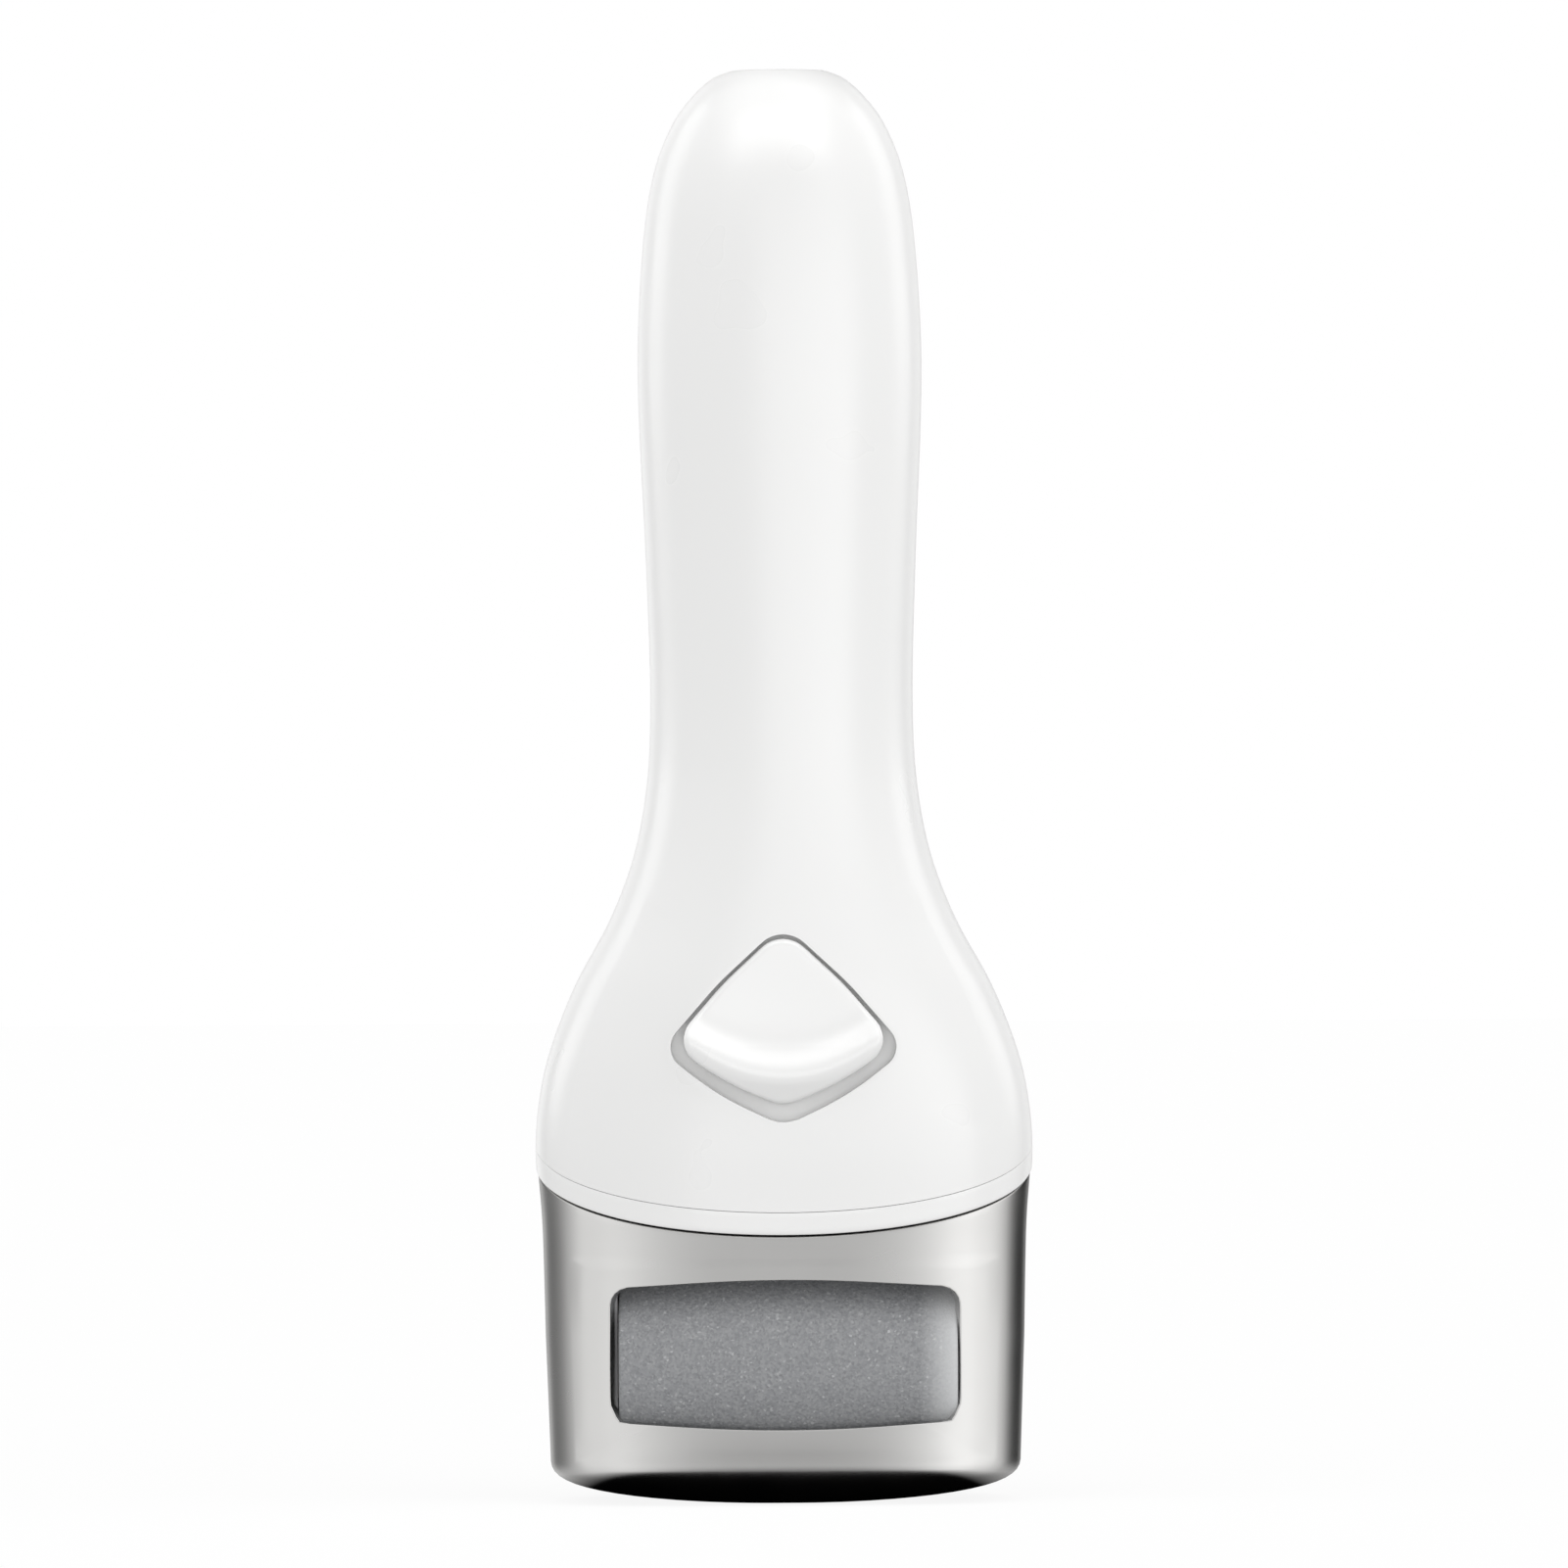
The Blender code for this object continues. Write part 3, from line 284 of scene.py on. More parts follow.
# Mesh helpers --------------------------------------------------------------------------
def to_object(name, bm):
    """A new object from a bmesh in millimetres, faces turned outward."""
    bmesh.ops.recalc_face_normals(bm, faces=bm.faces)
    bmesh.ops.scale(bm, vec=(MM, MM, MM), verts=bm.verts)
    mesh = bpy.data.meshes.new(name)
    bm.to_mesh(mesh)
    bm.free()
    obj = bpy.data.objects.new(name, mesh)
    bpy.context.scene.collection.objects.link(obj)
    mesh.shade_smooth()
    return obj


def join_rings(bm, rings):
    """Quads between rings of equal length, each ring closed on itself."""
    for low, high in zip(rings, rings[1:]):
        for i in range(len(low)):
            j = (i + 1) % len(low)
            bm.faces.new((low[i], low[j], high[j], high[i]))


def applied(obj):
    """The object with its modifiers worked into its mesh."""
    depsgraph = bpy.context.evaluated_depsgraph_get()
    mesh = bpy.data.meshes.new_from_object(obj.evaluated_get(depsgraph))
    obj.modifiers.clear()
    obj.data = mesh
    return obj


def thicken(obj, thickness=WALL):
    """Gives an open skin its wall, inwards, as a closed solid."""
    solidify = obj.modifiers.new("wall", "SOLIDIFY")
    solidify.thickness = thickness * MM
    solidify.offset = -1
    solidify.use_even_offset = False
    return applied(obj)


def round_edges(obj, width, angle=50, segments=3, where=None):
    """Rounds every edge sharper than an angle, or those of them that where() picks."""
    bm = bmesh.new()
    bm.from_mesh(obj.data)
    edges = [
        edge
        for edge in bm.edges
        if len(edge.link_faces) == 2
        and edge.calc_face_angle(0.0) > math.radians(angle)
        and (where is None or where((edge.verts[0].co + edge.verts[1].co) / (2 * MM)))
    ]
    bmesh.ops.bevel(
        bm,
        geom=edges,
        offset=width * MM,
        segments=segments,
        profile=0.5,
        affect="EDGES",
        clamp_overlap=True,
    )
    bm.to_mesh(obj.data)
    bm.free()
    obj.data.shade_smooth()
    return obj


def crisp(obj, angle=48):
    """Smooth shading that keeps edges sharper than an angle, with flats that stay flat."""
    obj.data.set_sharp_from_angle(angle=math.radians(angle))
    weighted = obj.modifiers.new("weighted_normals", "WEIGHTED_NORMAL")
    weighted.keep_sharp = True
    return obj


def cut(obj, cutter):
    """Takes a cutter out of an object and removes the cutter."""
    boolean = obj.modifiers.new("cut", "BOOLEAN")
    boolean.object = cutter
    boolean.solver = "EXACT"
    applied(obj)
    bpy.data.objects.remove(cutter, do_unlink=True)


def lathe(name, profile, axis, centre, segments=96):
    """A profile of (along, radius) turned about an axis, closed when it has no zero radius."""
    bm = bmesh.new()
    rings = []
    for along, radius in profile:
        count = segments if radius > 0 else 1
        ring = []
        for i in range(count):
            angle = 2 * math.pi * i / segments
            u = centre[0] + radius * math.cos(angle)
            v = centre[1] + radius * math.sin(angle)
            ring.append(bm.verts.new((along, u, v) if axis == "X" else (u, along, v)))
        rings.append(ring)
    if profile[0][1] > 0:
        join_rings(bm, [*rings, rings[0]])
    else:
        join_rings(bm, rings[1:-1])
        for tip, ring in ((rings[0][0], rings[1]), (rings[-1][0], rings[-2])):
            for i in range(segments):
                bm.faces.new((tip, ring[i], ring[(i + 1) % segments]))
    return to_object(name, bm)


class Skin:
    """A grid of points over the form, in which rectangles of cells can become holes."""

    def __init__(self, points, wrap):
        self.bm = bmesh.new()
        self.grid = [[self.bm.verts.new(p) for p in row] for row in points]
        self.wrap = wrap
        self.holes = []

    def hole(self, columns, rows, side, outline, centre, steps, skirt=()):
        """Rings from a rectangle of cells to an outline over (x, z), then down its skirt."""
        (c0, c1), (r0, r1) = columns, rows
        self.holes.append((c0, c1, r0, r1))
        rim = [self.grid[r0][c] for c in range(c0, c1)]
        rim += [self.grid[r][c1] for r in range(r0, r1)]
        rim += [self.grid[r1][c] for c in range(c1, c0, -1)]
        rim += [self.grid[r][c0] for r in range(r1, r0, -1)]
        ends = [cast(outline, centre, (v.co.x, v.co.z)) for v in rim]
        rings = [rim]
        for step in steps:
            ring = []
            for vert, end in zip(rim, ends):
                spot = end.lerp(Vector((vert.co.x, vert.co.z)), step)
                ring.append(self.bm.verts.new(on_form(spot.x, spot.y, side)))
            rings.append(ring)
        for deep in skirt:
            rings.append([self.bm.verts.new((e.x, deep, e.y)) for e in ends])
        join_rings(self.bm, rings)

    def faces(self):
        """Quads over every cell that no hole has taken."""
        count = len(self.grid[0])
        for r in range(len(self.grid) - 1):
            for c in range(count if self.wrap else count - 1):
                if any(a <= c < b and d <= r < e for a, b, d, e in self.holes):
                    continue
                n = (c + 1) % count
                low, high = self.grid[r], self.grid[r + 1]
                self.bm.faces.new((low[c], low[n], high[n], high[c]))
        loose = [v for v in self.bm.verts if not v.link_faces]
        bmesh.ops.delete(self.bm, geom=loose, context="VERTS")
        return self.bm


def spaced(low, high, count):
    return [low + (high - low) * i / count for i in range(count + 1)]


def nearest(values, wanted):
    return min(range(len(values)), key=lambda i: abs(values[i] - wanted))


# White shells --------------------------------------------------------------------------
SHELL_COLUMNS = 96
SHELL_EDGE = 0.06
SHELL_BASE = 44.6
PATCH_TOP = 72.0
PATCH_COLUMNS = (0.22, 0.78)
PORT_HALF_WIDTH, PORT_HALF_DEPTH, PORT_CORNER = 4.1, 1.7, 1.2
# Half the size of the patch of cells that gives way to a screw's seat
SEAT_REACH = 4.5
# Stands for the x of a point on the other side, so that it is never the nearest
ELSEWHERE = 99.0


def shell_rows():
    """Shares of the way up from the collar to the base row, then heights above it."""
    heights = spaced(SHELL_BASE, PATCH_TOP, 28) + spaced(73.5, 150.0, 51)
    heights += [152.0, 154.0, 156.0, 158.0, 160.0, 161.8, 163.4, 164.8, 166.0, 167.1, 168.1]
    heights += [169.0, 169.8, 170.4, 170.9, 171.3, 171.6, 171.85, LENGTH]
    return spaced(0.0, 1.0, 9)[:-1], heights


def shell_angle(share, side):
    """Angle of a column, running from one parting edge to the other across the half."""
    usual_reach = 15.0
    edge = SHELL_GAP / usual_reach
    angle = edge + (math.pi - 2 * edge) * share
    return math.pi + angle if side == FRONT else angle


def port_outline():
    """The mouth of the charging port in the flat end, over (x, y)."""
    right = [(PORT_HALF_WIDTH, y, PORT_CORNER) for y in (PORT_HALF_DEPTH, -PORT_HALF_DEPTH)]
    left = [(-x, y, radius) for x, y, radius in reversed(right)]
    return filleted([*right, *left])


def shell_points(side):
    """The grid of one half: up from the collar, over the end and in to the port's mouth."""
    shares, heights = shell_rows()
    angles = [shell_angle(c / SHELL_COLUMNS, side) for c in range(SHELL_COLUMNS + 1)]
    rows = []
    for share in shares:
        row = []
        for angle in angles:
            low = seam_at(angle, COLLAR_HEIGHT + LIP_GAP)
            row.append(at_angle(angle, low + (SHELL_BASE - low) * share))
        rows.append(row)
    rows += [[at_angle(angle, z) for angle in angles] for z in heights]
    outline = port_outline()
    rim = rows[-1]
    mouth = [cast(outline, (0.0, 0.0), (x, y)) for x, y, _ in rim]
    for share in (0.66, 0.33, 0.0):
        rows.append([(m.x + (x - m.x) * share, m.y + (y - m.y) * share, LENGTH)
                     for m, (x, y, _) in zip(mouth, rim)])
    return rows, len(shares), heights


def screw_seat(skin, heights, first, spot, radius, steps, depths):
    """A seat around a screw in the back, its wall running down to the depths below the skin."""
    x, z = spot
    row = skin.grid[first + nearest(heights, z)]
    across = [v.co.x if v.co.y > 0 else ELSEWHERE for v in row]
    columns = sorted((nearest(across, x - SEAT_REACH), nearest(across, x + SEAT_REACH)))
    rows = tuple(first + nearest(heights, z + up) for up in (-SEAT_REACH, SEAT_REACH))
    surface = on_form(x, z, BACK)[1]
    skirt = [surface - depth for depth in depths]
    skin.hole(columns, rows, BACK, circle(radius, spot), spot, steps, skirt)


def in_recess(p):
    """Whether an edge is the rim of the switch's recess."""
    return abs(p.x) < 15 and 44.5 < p.z < 71 and p.y < TRAY_FRONT - 0.6


def front_shell():
    """The front half: its skin runs down into the recess of the switch."""
    rows, first, heights = shell_points(FRONT)
    skin = Skin(rows, wrap=False)
    columns = [round(SHELL_COLUMNS * share) for share in PATCH_COLUMNS]
    patch = (first, first + nearest(heights, PATCH_TOP))
    skin.hole(
        columns, patch, FRONT, kite(RECESS, 2.7), (0.0, 56.0),
        (0.84, 0.68, 0.52, 0.38, 0.25, 0.14, 0.06, 0.0),
        skirt=(TRAY_FRONT - 1.2, TRAY_FRONT - 0.25),
    )
    obj = thicken(to_object("front_casing", skin.faces()))
    round_edges(obj, 0.3, where=in_recess)
    return crisp(round_edges(obj, SHELL_EDGE, where=lambda p: not in_recess(p)))


def back_shell():
    """The back half, whose seats are deep enough for their walls to stay under the skin."""
    rows, first, heights = shell_points(BACK)
    skin = Skin(rows, wrap=False)
    for spot in SHELL_SCREWS:
        screw_seat(skin, heights, first, spot, 2.4, (0.7, 0.42, 0.18, 0.0), (3.4, 3.7))
    obj = thicken(to_object("back_casing", skin.faces()))
    return crisp(round_edges(obj, SHELL_EDGE))


def parting_lip(name, turn):
    """A strip inside the parting line, so that no light passes between the shells."""
    foot, top = 43.6, 169.0
    outer_inset, inner_inset, half_depth = 0.9, 1.5, 0.8
    bm = bmesh.new()
    rings = []
    for z in spaced(foot, top, 120):
        edge = at_angle(turn, z)[0]
        side = 1 if edge > 0 else -1
        outer, inner = edge - side * outer_inset, edge - side * inner_inset
        spots = [(outer, -half_depth), (outer, half_depth), (inner, half_depth), (inner, -half_depth)]
        rings.append([bm.verts.new((x, y, z)) for x, y in spots])
    join_rings(bm, rings)
    bm.faces.new(rings[0])
    bm.faces.new(rings[-1])
    return crisp(to_object(name, bm))


def at_seam(p):
    """Whether an edge is on the collar's lower rim."""
    return p.z < seam_height(p.x) + COLLAR_HEIGHT / 2


def collar():
    """The white band along the seam."""
    count = 256
    angles = [2 * math.pi * i / count for i in range(count)]
    rows = []
    for share in spaced(0.0, 1.0, 4):
        offset = SEAM_GAP + (COLLAR_HEIGHT - SEAM_GAP - LIP_GAP) * share
        rows.append([at_angle(angle, seam_at(angle, offset)) for angle in angles])
    obj = thicken(to_object("collar_band", Skin(rows, wrap=True).faces()), 1.6)
    round_edges(obj, 0.22, where=at_seam)
    return crisp(round_edges(obj, 0.05, where=lambda p: not at_seam(p)))


# Silver head ---------------------------------------------------------------------------
HEAD_COLUMNS = 256
# How far the head stands back at the seam, the heights between which that sets in, the
# depth that it is a share of, and how much of it applies at the sides
HEAD_INSET = 0.18
INSET_FROM, INSET_TO = 20.0, 32.0
HEAD_DEPTH = 16
SIDE_SHARE = 0.55
FOOT_ROWS, BODY_ROWS, TOP_ROWS = 16, 26, 7
WINDOW_ROWS = (FOOT_HEIGHT, 29.4)
PATCH_HALF_WIDTH = 25.2


def head_point(angle, z):
    """The head stands back from the collar by a hair, most at the seam."""
    x, y, z = at_angle(angle, z)
    blend = min(max((z - INSET_FROM) / (INSET_TO - INSET_FROM), 0.0), 1.0)
    shrink = 1 - HEAD_INSET / HEAD_DEPTH * blend
    return (x * (1 + (shrink - 1) * SIDE_SHARE), y * shrink, z)


def near_window(p):
    """Whether an edge is the rim of the roller window."""
    return abs(p.x) < 22.5 and 6.5 < p.z < 28.0 and p.y < 0


def head_rows(body):
    """Rings from inside the flat foot to the seam, and the number of the body's first ring."""
    angles = [2 * math.pi * (i + 0.5) / HEAD_COLUMNS - math.pi for i in range(HEAD_COLUMNS)]
    foot = [FOOT_HEIGHT * (i / FOOT_ROWS) ** 1.9 for i in range(FOOT_ROWS)]
    flat = [[tuple(c * k for c in at_angle(a, 0.0)) for a in angles] for k in (0.35, 0.7)]
    rows = flat + [[head_point(a, z) for a in angles] for z in foot + body]
    start = body[-1]
    tops = [seam_at(a, -SEAM_GAP) for a in angles]
    for share in spaced(0.0, 1.0, TOP_ROWS)[1:]:
        rows.append([head_point(a, start + (top - start) * share) for a, top in zip(angles, tops)])
    return rows, len(flat) + len(foot)


def head_housing():
    """One closed shell from its flat foot to the seam, with the roller window."""
    body = spaced(*WINDOW_ROWS, BODY_ROWS)
    rows, first = head_rows(body)
    skin = Skin(rows, wrap=True)
    skin.bm.faces.new(skin.grid[0])
    middle_row = skin.grid[first + 12]
    across = [v.co.x if v.co.y < 0 else ELSEWHERE for v in middle_row]
    columns = (nearest(across, -PATCH_HALF_WIDTH), nearest(across, PATCH_HALF_WIDTH))
    skin.hole(
        columns, (first, first + BODY_ROWS), FRONT, window_outline(), (0.0, 17.2),
        (0.8, 0.6, 0.42, 0.27, 0.15, 0.06, 0.0),
    )
    for spot in CARRIER_SCREWS:
        screw_seat(skin, body, first, spot, 2.3, (0.6, 0.3, 0.1, 0.0), (1.5, 2.0))
    obj = thicken(to_object("silver_head", skin.faces()))
    round_edges(obj, 0.32, segments=4, where=near_window)
    return crisp(round_edges(obj, 0.2, where=lambda p: not near_window(p)))


# Switch --------------------------------------------------------------------------------
# The button's face: how far forward it stands, and its lean above a height
FACE_FRONT, FACE_LEAN, LEAN_FROM = 17.35, 0.065, 55.0
# Its thumb scoop: depth, height of its middle, and reach to the sides and up
SCOOP_DEPTH, SCOOP_HEIGHT, SCOOP_WIDTH, SCOOP_RISE = 0.25, 60.0, 9.0, 5.0
# Its ridge: rise, height in the middle, curve up to the sides, spread above and below
RIDGE_RISE, RIDGE_HEIGHT, RIDGE_CURVE, RIDGE_ABOVE, RIDGE_BELOW = 1.5, 51.4, 0.032, 2.8, 2.0
# How fast the face falls back below the ridge
FOOT_FALL = 0.30


def button_front(x, z):
    """How far forward the button stands: a shallow scoop that climbs to a curved ridge."""
    face = FACE_FRONT - FACE_LEAN * max(z - LEAN_FROM, 0.0)
    away = (x / SCOOP_WIDTH) ** 2 + ((z - SCOOP_HEIGHT) / SCOOP_RISE) ** 2
    crest = RIDGE_HEIGHT + RIDGE_CURVE * x**2
    spread = RIDGE_ABOVE if z > crest else RIDGE_BELOW
    ridge = RIDGE_RISE * math.exp(-(((z - crest) / spread) ** 2))
    drop = FOOT_FALL * max(crest - 1.0 - z, 0.0)
    return face - SCOOP_DEPTH * math.exp(-away) + ridge - drop


def slide_button():
    """The thumb button: a kite with a rounded rim and a shaped face."""
    outline = kite(BUTTON, 3.2)
    middle = Vector((0.0, 57.0))
    rim = [cast(outline, middle, middle + Vector((math.cos(a), math.sin(a))))
           for a in (2 * math.pi * i / 240 for i in range(240))]
    bm = bmesh.new()
    rings = [[bm.verts.new((p.x, BUTTON_BACK, p.y)) for p in rim]]
    radius, last_ring, face_rings = 0.7, 0.6, 26
    for turn in (0, 15, 30, 45, 60, 75, 90):
        inset = radius * (1 - math.cos(math.radians(turn)))
        rise = radius * math.sin(math.radians(turn))
        rings.append(button_ring(bm, rim, middle, inset, radius - rise))
    reach = min((p - middle).length for p in rim)
    for k in range(1, face_rings + 1):
        inset = radius + (reach - radius - last_ring) * (k / face_rings) ** 0.9
        rings.append(button_ring(bm, rim, middle, inset, 0.0, reach))
    join_rings(bm, rings)
    bm.faces.new(rings[0])
    bm.faces.new(rings[-1])
    return crisp(to_object("thumb_slider", bm), 70)


def button_ring(bm, rim, middle, inset, below, reach=None):
    """One ring of the button's face, drawn in from the rim and let down by below."""
    ring = []
    for p in rim:
        away = p - middle
        share = 1 - inset / (reach or away.length)
        spot = middle + away * share
        ring.append(bm.verts.new((spot.x, -button_front(spot.x, spot.y) + below, spot.y)))
    return ring


# Roller --------------------------------------------------------------------------------
def sleeve_radius(x):
    return ROLLER_RADIUS - SLEEVE_CROWN * (x / SLEEVE_HALF) ** 2


# Bumps per mm and height in mm of the coarse and the fine grit, and the resin under them
COARSE_GRIT, FINE_GRIT = (3.1, 0.045), (7.3, 0.035)
RESIN_DEPTH = 0.05


def gritty_radius(x, c, s):
    """The sleeve's radius at x and at an angle's cosine and sine, with coarse and fine grit."""
    base = sleeve_radius(x)
    spot = Vector((x, base * c, base * s))
    grit = sum(noise.noise(spot * pace) * height for pace, height in (COARSE_GRIT, FINE_GRIT))
    return base - RESIN_DEPTH + grit


def grinding_sleeve():
    """The abrasive sleeve, with its grit as real bumps; its ends lap just over the caps."""
    around, along = 520, 240
    bore, lap = 9.9, 0.15
    end = low_mm("roller_cap_right").x + lap
    turns = [2 * math.pi * k / around for k in range(around)]
    bm = bmesh.new()
    rings = []
    for x in spaced(-end, end, along):
        rings.append([sleeve_vert(bm, x, a, gritty_radius(x, math.cos(a), math.sin(a))) for a in turns])
    for x in (end, -end):
        rings.append([sleeve_vert(bm, x, a, bore) for a in turns])
    join_rings(bm, [*rings, rings[0]])
    return crisp(to_object("grit_sleeve", bm), 60)


def sleeve_vert(bm, x, angle, radius):
    return bm.verts.new((x, ROLLER_Y + radius * math.cos(angle), ROLLER_Z + radius * math.sin(angle)))


# How far each cap's rim stands past its CAD solid, towards the carrier's arms
CAP_PROUD = {-1: 1.0, 1: 0.42}


def roller_cap(name, node, side):
    """A moulded end cap whose rim carries the sleeve's barrel on to the roller's end."""
    low, high = low_mm(node).x, high_mm(node).x
    inner, face = (low, high) if side > 0 else (high, low)
    outer = face + side * CAP_PROUD[side]
    bore, round_off, joint_step = 1.4, 0.4, 0.07
    dish_edge, dish_floor = 9.3, 8.6
    top = sleeve_radius(outer)
    profile = [(inner, bore), (inner, sleeve_radius(inner) - joint_step)]
    for turn in range(0, 91, 15):
        a = math.radians(turn)
        reach = outer - side * round_off * (1 - math.sin(a))
        profile.append((reach, top - round_off * (1 - math.cos(a))))
    profile += [(outer, dish_edge), (face, dish_floor), (face, bore)]
    return crisp(lathe(name, profile, "X", (ROLLER_Y, ROLLER_Z), 128), 30)


def window_guard(name, left, right, front):
    """An upright strip of the carrier that closes the gap beside one end of the roller."""
    low, high, thickness = 9.2, 26.8, 0.4
    outline = [(left, low), (right, low), (right, high), (left, high)]
    bm = bmesh.new()
    depths = (front, front + thickness)
    rings = [[bm.verts.new((x, y, z)) for x, z in outline] for y in depths]
    join_rings(bm, rings)
    for ring in rings:
        bm.faces.new(ring)
    return crisp(to_object(name, bm), 40)


def window_guards():
    """One strip for the wide gap on the left, dark grey as painted shade, and one for the narrow gap on
    the right, pale grey as painted light.
    """
    room = 0.12
    left = low_mm("roller_cap_left").x - CAP_PROUD[-1] - room
    right = high_mm("roller_cap_right").x + CAP_PROUD[1] + room
    return (
        window_guard("left_guard", -22.0, left, -11.5),
        window_guard("right_guard", right, 21.3, -12.0),
    )


# Screws --------------------------------------------------------------------------------
# One bar of the cross: half its width and half its length, and its taper and depth
CROSS = (0.34, 1.15)
CROSS_TAPER = 0.55
CROSS_DEPTH = 1.3


def cross_screw(name, node):
    """A pan head screw with a cross recess, its head towards +Y."""
    low, high = low_mm(node), high_mm(node)
    centre = ((low.x + high.x) / 2, (low.z + high.z) / 2)
    head = (high.x - low.x) / 2
    top, tip = high.y, low.y
    thick = 1.4 if head > 1.95 else 0.7
    shank, point, bend = 0.95, 0.5, thick * 0.6
    profile = [(tip, 0), (tip + point, shank), (top - thick, shank), (top - thick, head)]
    for turn in range(0, 91, 18):
        a = math.radians(turn)
        profile.append((top - bend * (1 - math.sin(a)), head - bend * (1 - math.cos(a))))
    profile.append((top, 0))
    screw = lathe(name, profile, "Y", centre, 48)
    for size in (CROSS, CROSS[::-1]):
        cut(screw, cross_bar(centre, top, *size))
    screw.data.shade_smooth()
    return crisp(screw, 35)


def cross_bar(centre, top, half_width, half_height):
    """The cutter for one bar of a screw's recess, narrower towards its floor."""
    bm = bmesh.new()
    bmesh.ops.create_cube(bm, size=1.0)
    for vert in bm.verts:
        taper = 1.0 if vert.co.y > 0 else CROSS_TAPER
        x = centre[0] + vert.co.x * 2 * half_width * taper
        z = centre[1] + vert.co.z * 2 * half_height * taper
        vert.co = Vector((x, top + vert.co.y * CROSS_DEPTH, z))
    return to_object("recess_cutter", bm)


# Materials -----------------------------------------------------------------------------
class Look:
    """A Principled material with a few node helpers."""

    def __init__(self, name, colour, roughness, metallic=0.0, **sockets):
        self.material = bpy.data.materials.new(name)
        self.material.use_nodes = True
        self.tree = self.material.node_tree
        self.shader = self.tree.nodes["Principled BSDF"]
        self.set(Roughness=roughness, Metallic=metallic, **sockets)
        self.shader.inputs["Base Color"].default_value = (*colour, 1.0)
        self.colour = colour
        self.place = self.tree.nodes.new("ShaderNodeTexCoord").outputs["Object"]

    def set(self, **sockets):
        for name, value in sockets.items():
            self.shader.inputs[name.replace("_", " ")].default_value = value

    def link(self, output, socket):
        self.tree.links.new(output, self.shader.inputs[socket])

    def noise(self, size_mm, detail=3.0, rough=0.5, stretch=None):
        """Noise whose features are about size_mm across."""
        source = self.place
        if stretch:
            mapping = self.tree.nodes.new("ShaderNodeMapping")
            mapping.inputs["Scale"].default_value = stretch
            self.tree.links.new(self.place, mapping.inputs["Vector"])
            source = mapping.outputs["Vector"]
        node = self.tree.nodes.new("ShaderNodeTexNoise")
        node.inputs["Scale"].default_value = 1.0 / (size_mm * MM)
        node.inputs["Detail"].default_value = detail
        node.inputs["Roughness"].default_value = rough
        self.tree.links.new(source, node.inputs["Vector"])
        return node.outputs["Fac"]

    def cells(self, size_mm, feature="F1", output="Distance"):
        node = self.tree.nodes.new("ShaderNodeTexVoronoi")
        node.feature = feature
        node.inputs["Scale"].default_value = 1.0 / (size_mm * MM)
        self.tree.links.new(self.place, node.inputs["Vector"])
        return node.outputs[output]

    def spread(self, source, low, high, start=0.3, end=0.7):
        """Maps a source onto a range of values."""
        node = self.tree.nodes.new("ShaderNodeMapRange")
        for name, value in zip(
            ("From Min", "From Max", "To Min", "To Max"), (start, end, low, high)
        ):
            node.inputs[name].default_value = value
        self.tree.links.new(source, node.inputs["Value"])
        return node.outputs["Result"]

    def ramp(self, source, *stops):
        """Maps a source onto colours: stops are (position, colour)."""
        node = self.tree.nodes.new("ShaderNodeValToRGB")
        elements = node.color_ramp.elements
        while len(elements) < len(stops):
            elements.new(0.5)
        for element, (position, colour) in zip(elements, stops):
            element.position = position
            element.color = (*colour, 1.0)
        self.tree.links.new(source, node.inputs["Fac"])
        return node.outputs["Color"]

    def bump(self, source, height_mm, below=None, strength=1.0):
        node = self.tree.nodes.new("ShaderNodeBump")
        node.inputs["Distance"].default_value = height_mm * MM
        node.inputs["Strength"].default_value = strength
        self.tree.links.new(source, node.inputs["Height"])
        if below is not None:
            self.tree.links.new(below, node.inputs["Normal"])
        self.link(node.outputs["Normal"], "Normal")
        return node.outputs["Normal"]

    def mottled(self, size_mm, amount):
        """The base colour with a slow, faint variation."""
        dark = [c * (1 - amount) for c in self.colour]
        slow = self.noise(size_mm, 1.0)
        self.link(self.ramp(slow, (0.2, dark), (0.8, self.colour)), "Base Color")
        return self


def moulded(name, colour, roughness, grain_mm=0.35, height_mm=0.004, amount=0.03):
    """Moulded plastic: faint flow marks, uneven gloss and a fine eroded grain."""
    look = Look(name, colour, roughness).mottled(14.0, amount)
    look.link(look.spread(look.noise(3.0), roughness - 0.04, roughness + 0.05), "Roughness")
    fine = look.bump(look.noise(grain_mm, 4.0), height_mm)
    look.bump(look.noise(6.0, 1.0), height_mm * 2, below=fine)
    return look


def metal(name, colour, roughness, stretch=None, height_mm=0.002):
    """Bare metal with drawn or turned marks."""
    look = Look(name, colour, roughness, 1.0).mottled(5.0, 0.10)
    marks = look.noise(0.25, 5.0, 0.6, stretch)
    look.link(look.spread(marks, roughness - 0.08, roughness + 0.12), "Roughness")
    look.bump(marks, height_mm)
    return look


def white_plastic(name, tone):
    """Satin white: hardly any grain, and gloss that varies slowly over the surface."""
    look = Look(name, (tone, tone, tone * 0.994), 0.30).mottled(25.0, 0.002)
    look.link(look.spread(look.noise(12.0, 2.0), 0.27, 0.33), "Roughness")
    look.bump(look.noise(0.12, 2.0), 0.0004)
    return look


def silver_finish():
    """A metallised satin coat under a thin lacquer, with a slight orange peel."""
    look = Look("satin_silver", (0.64, 0.635, 0.625), 0.26, 1.0)
    look.link(look.spread(look.noise(6.0, 2.0), 0.235, 0.275), "Roughness")
    look.bump(look.noise(1.6, 2.0), 0.0004)
    return look.mottled(9.0, 0.012)


# Painted highlight on the roller's right end, a pale tone that stands in for light catching it: where
# it sets in and is strongest, in metres
END_HIGHLIGHT_SPAN = (0.0160, 0.0212)
END_HIGHLIGHT_TONE = (0.45, 0.455, 0.46)
# The mix node's sockets for colours, which share their names with those for values
MIX_FACTOR, MIX_A, MIX_B, MIX_RESULT = 0, 6, 7, 2


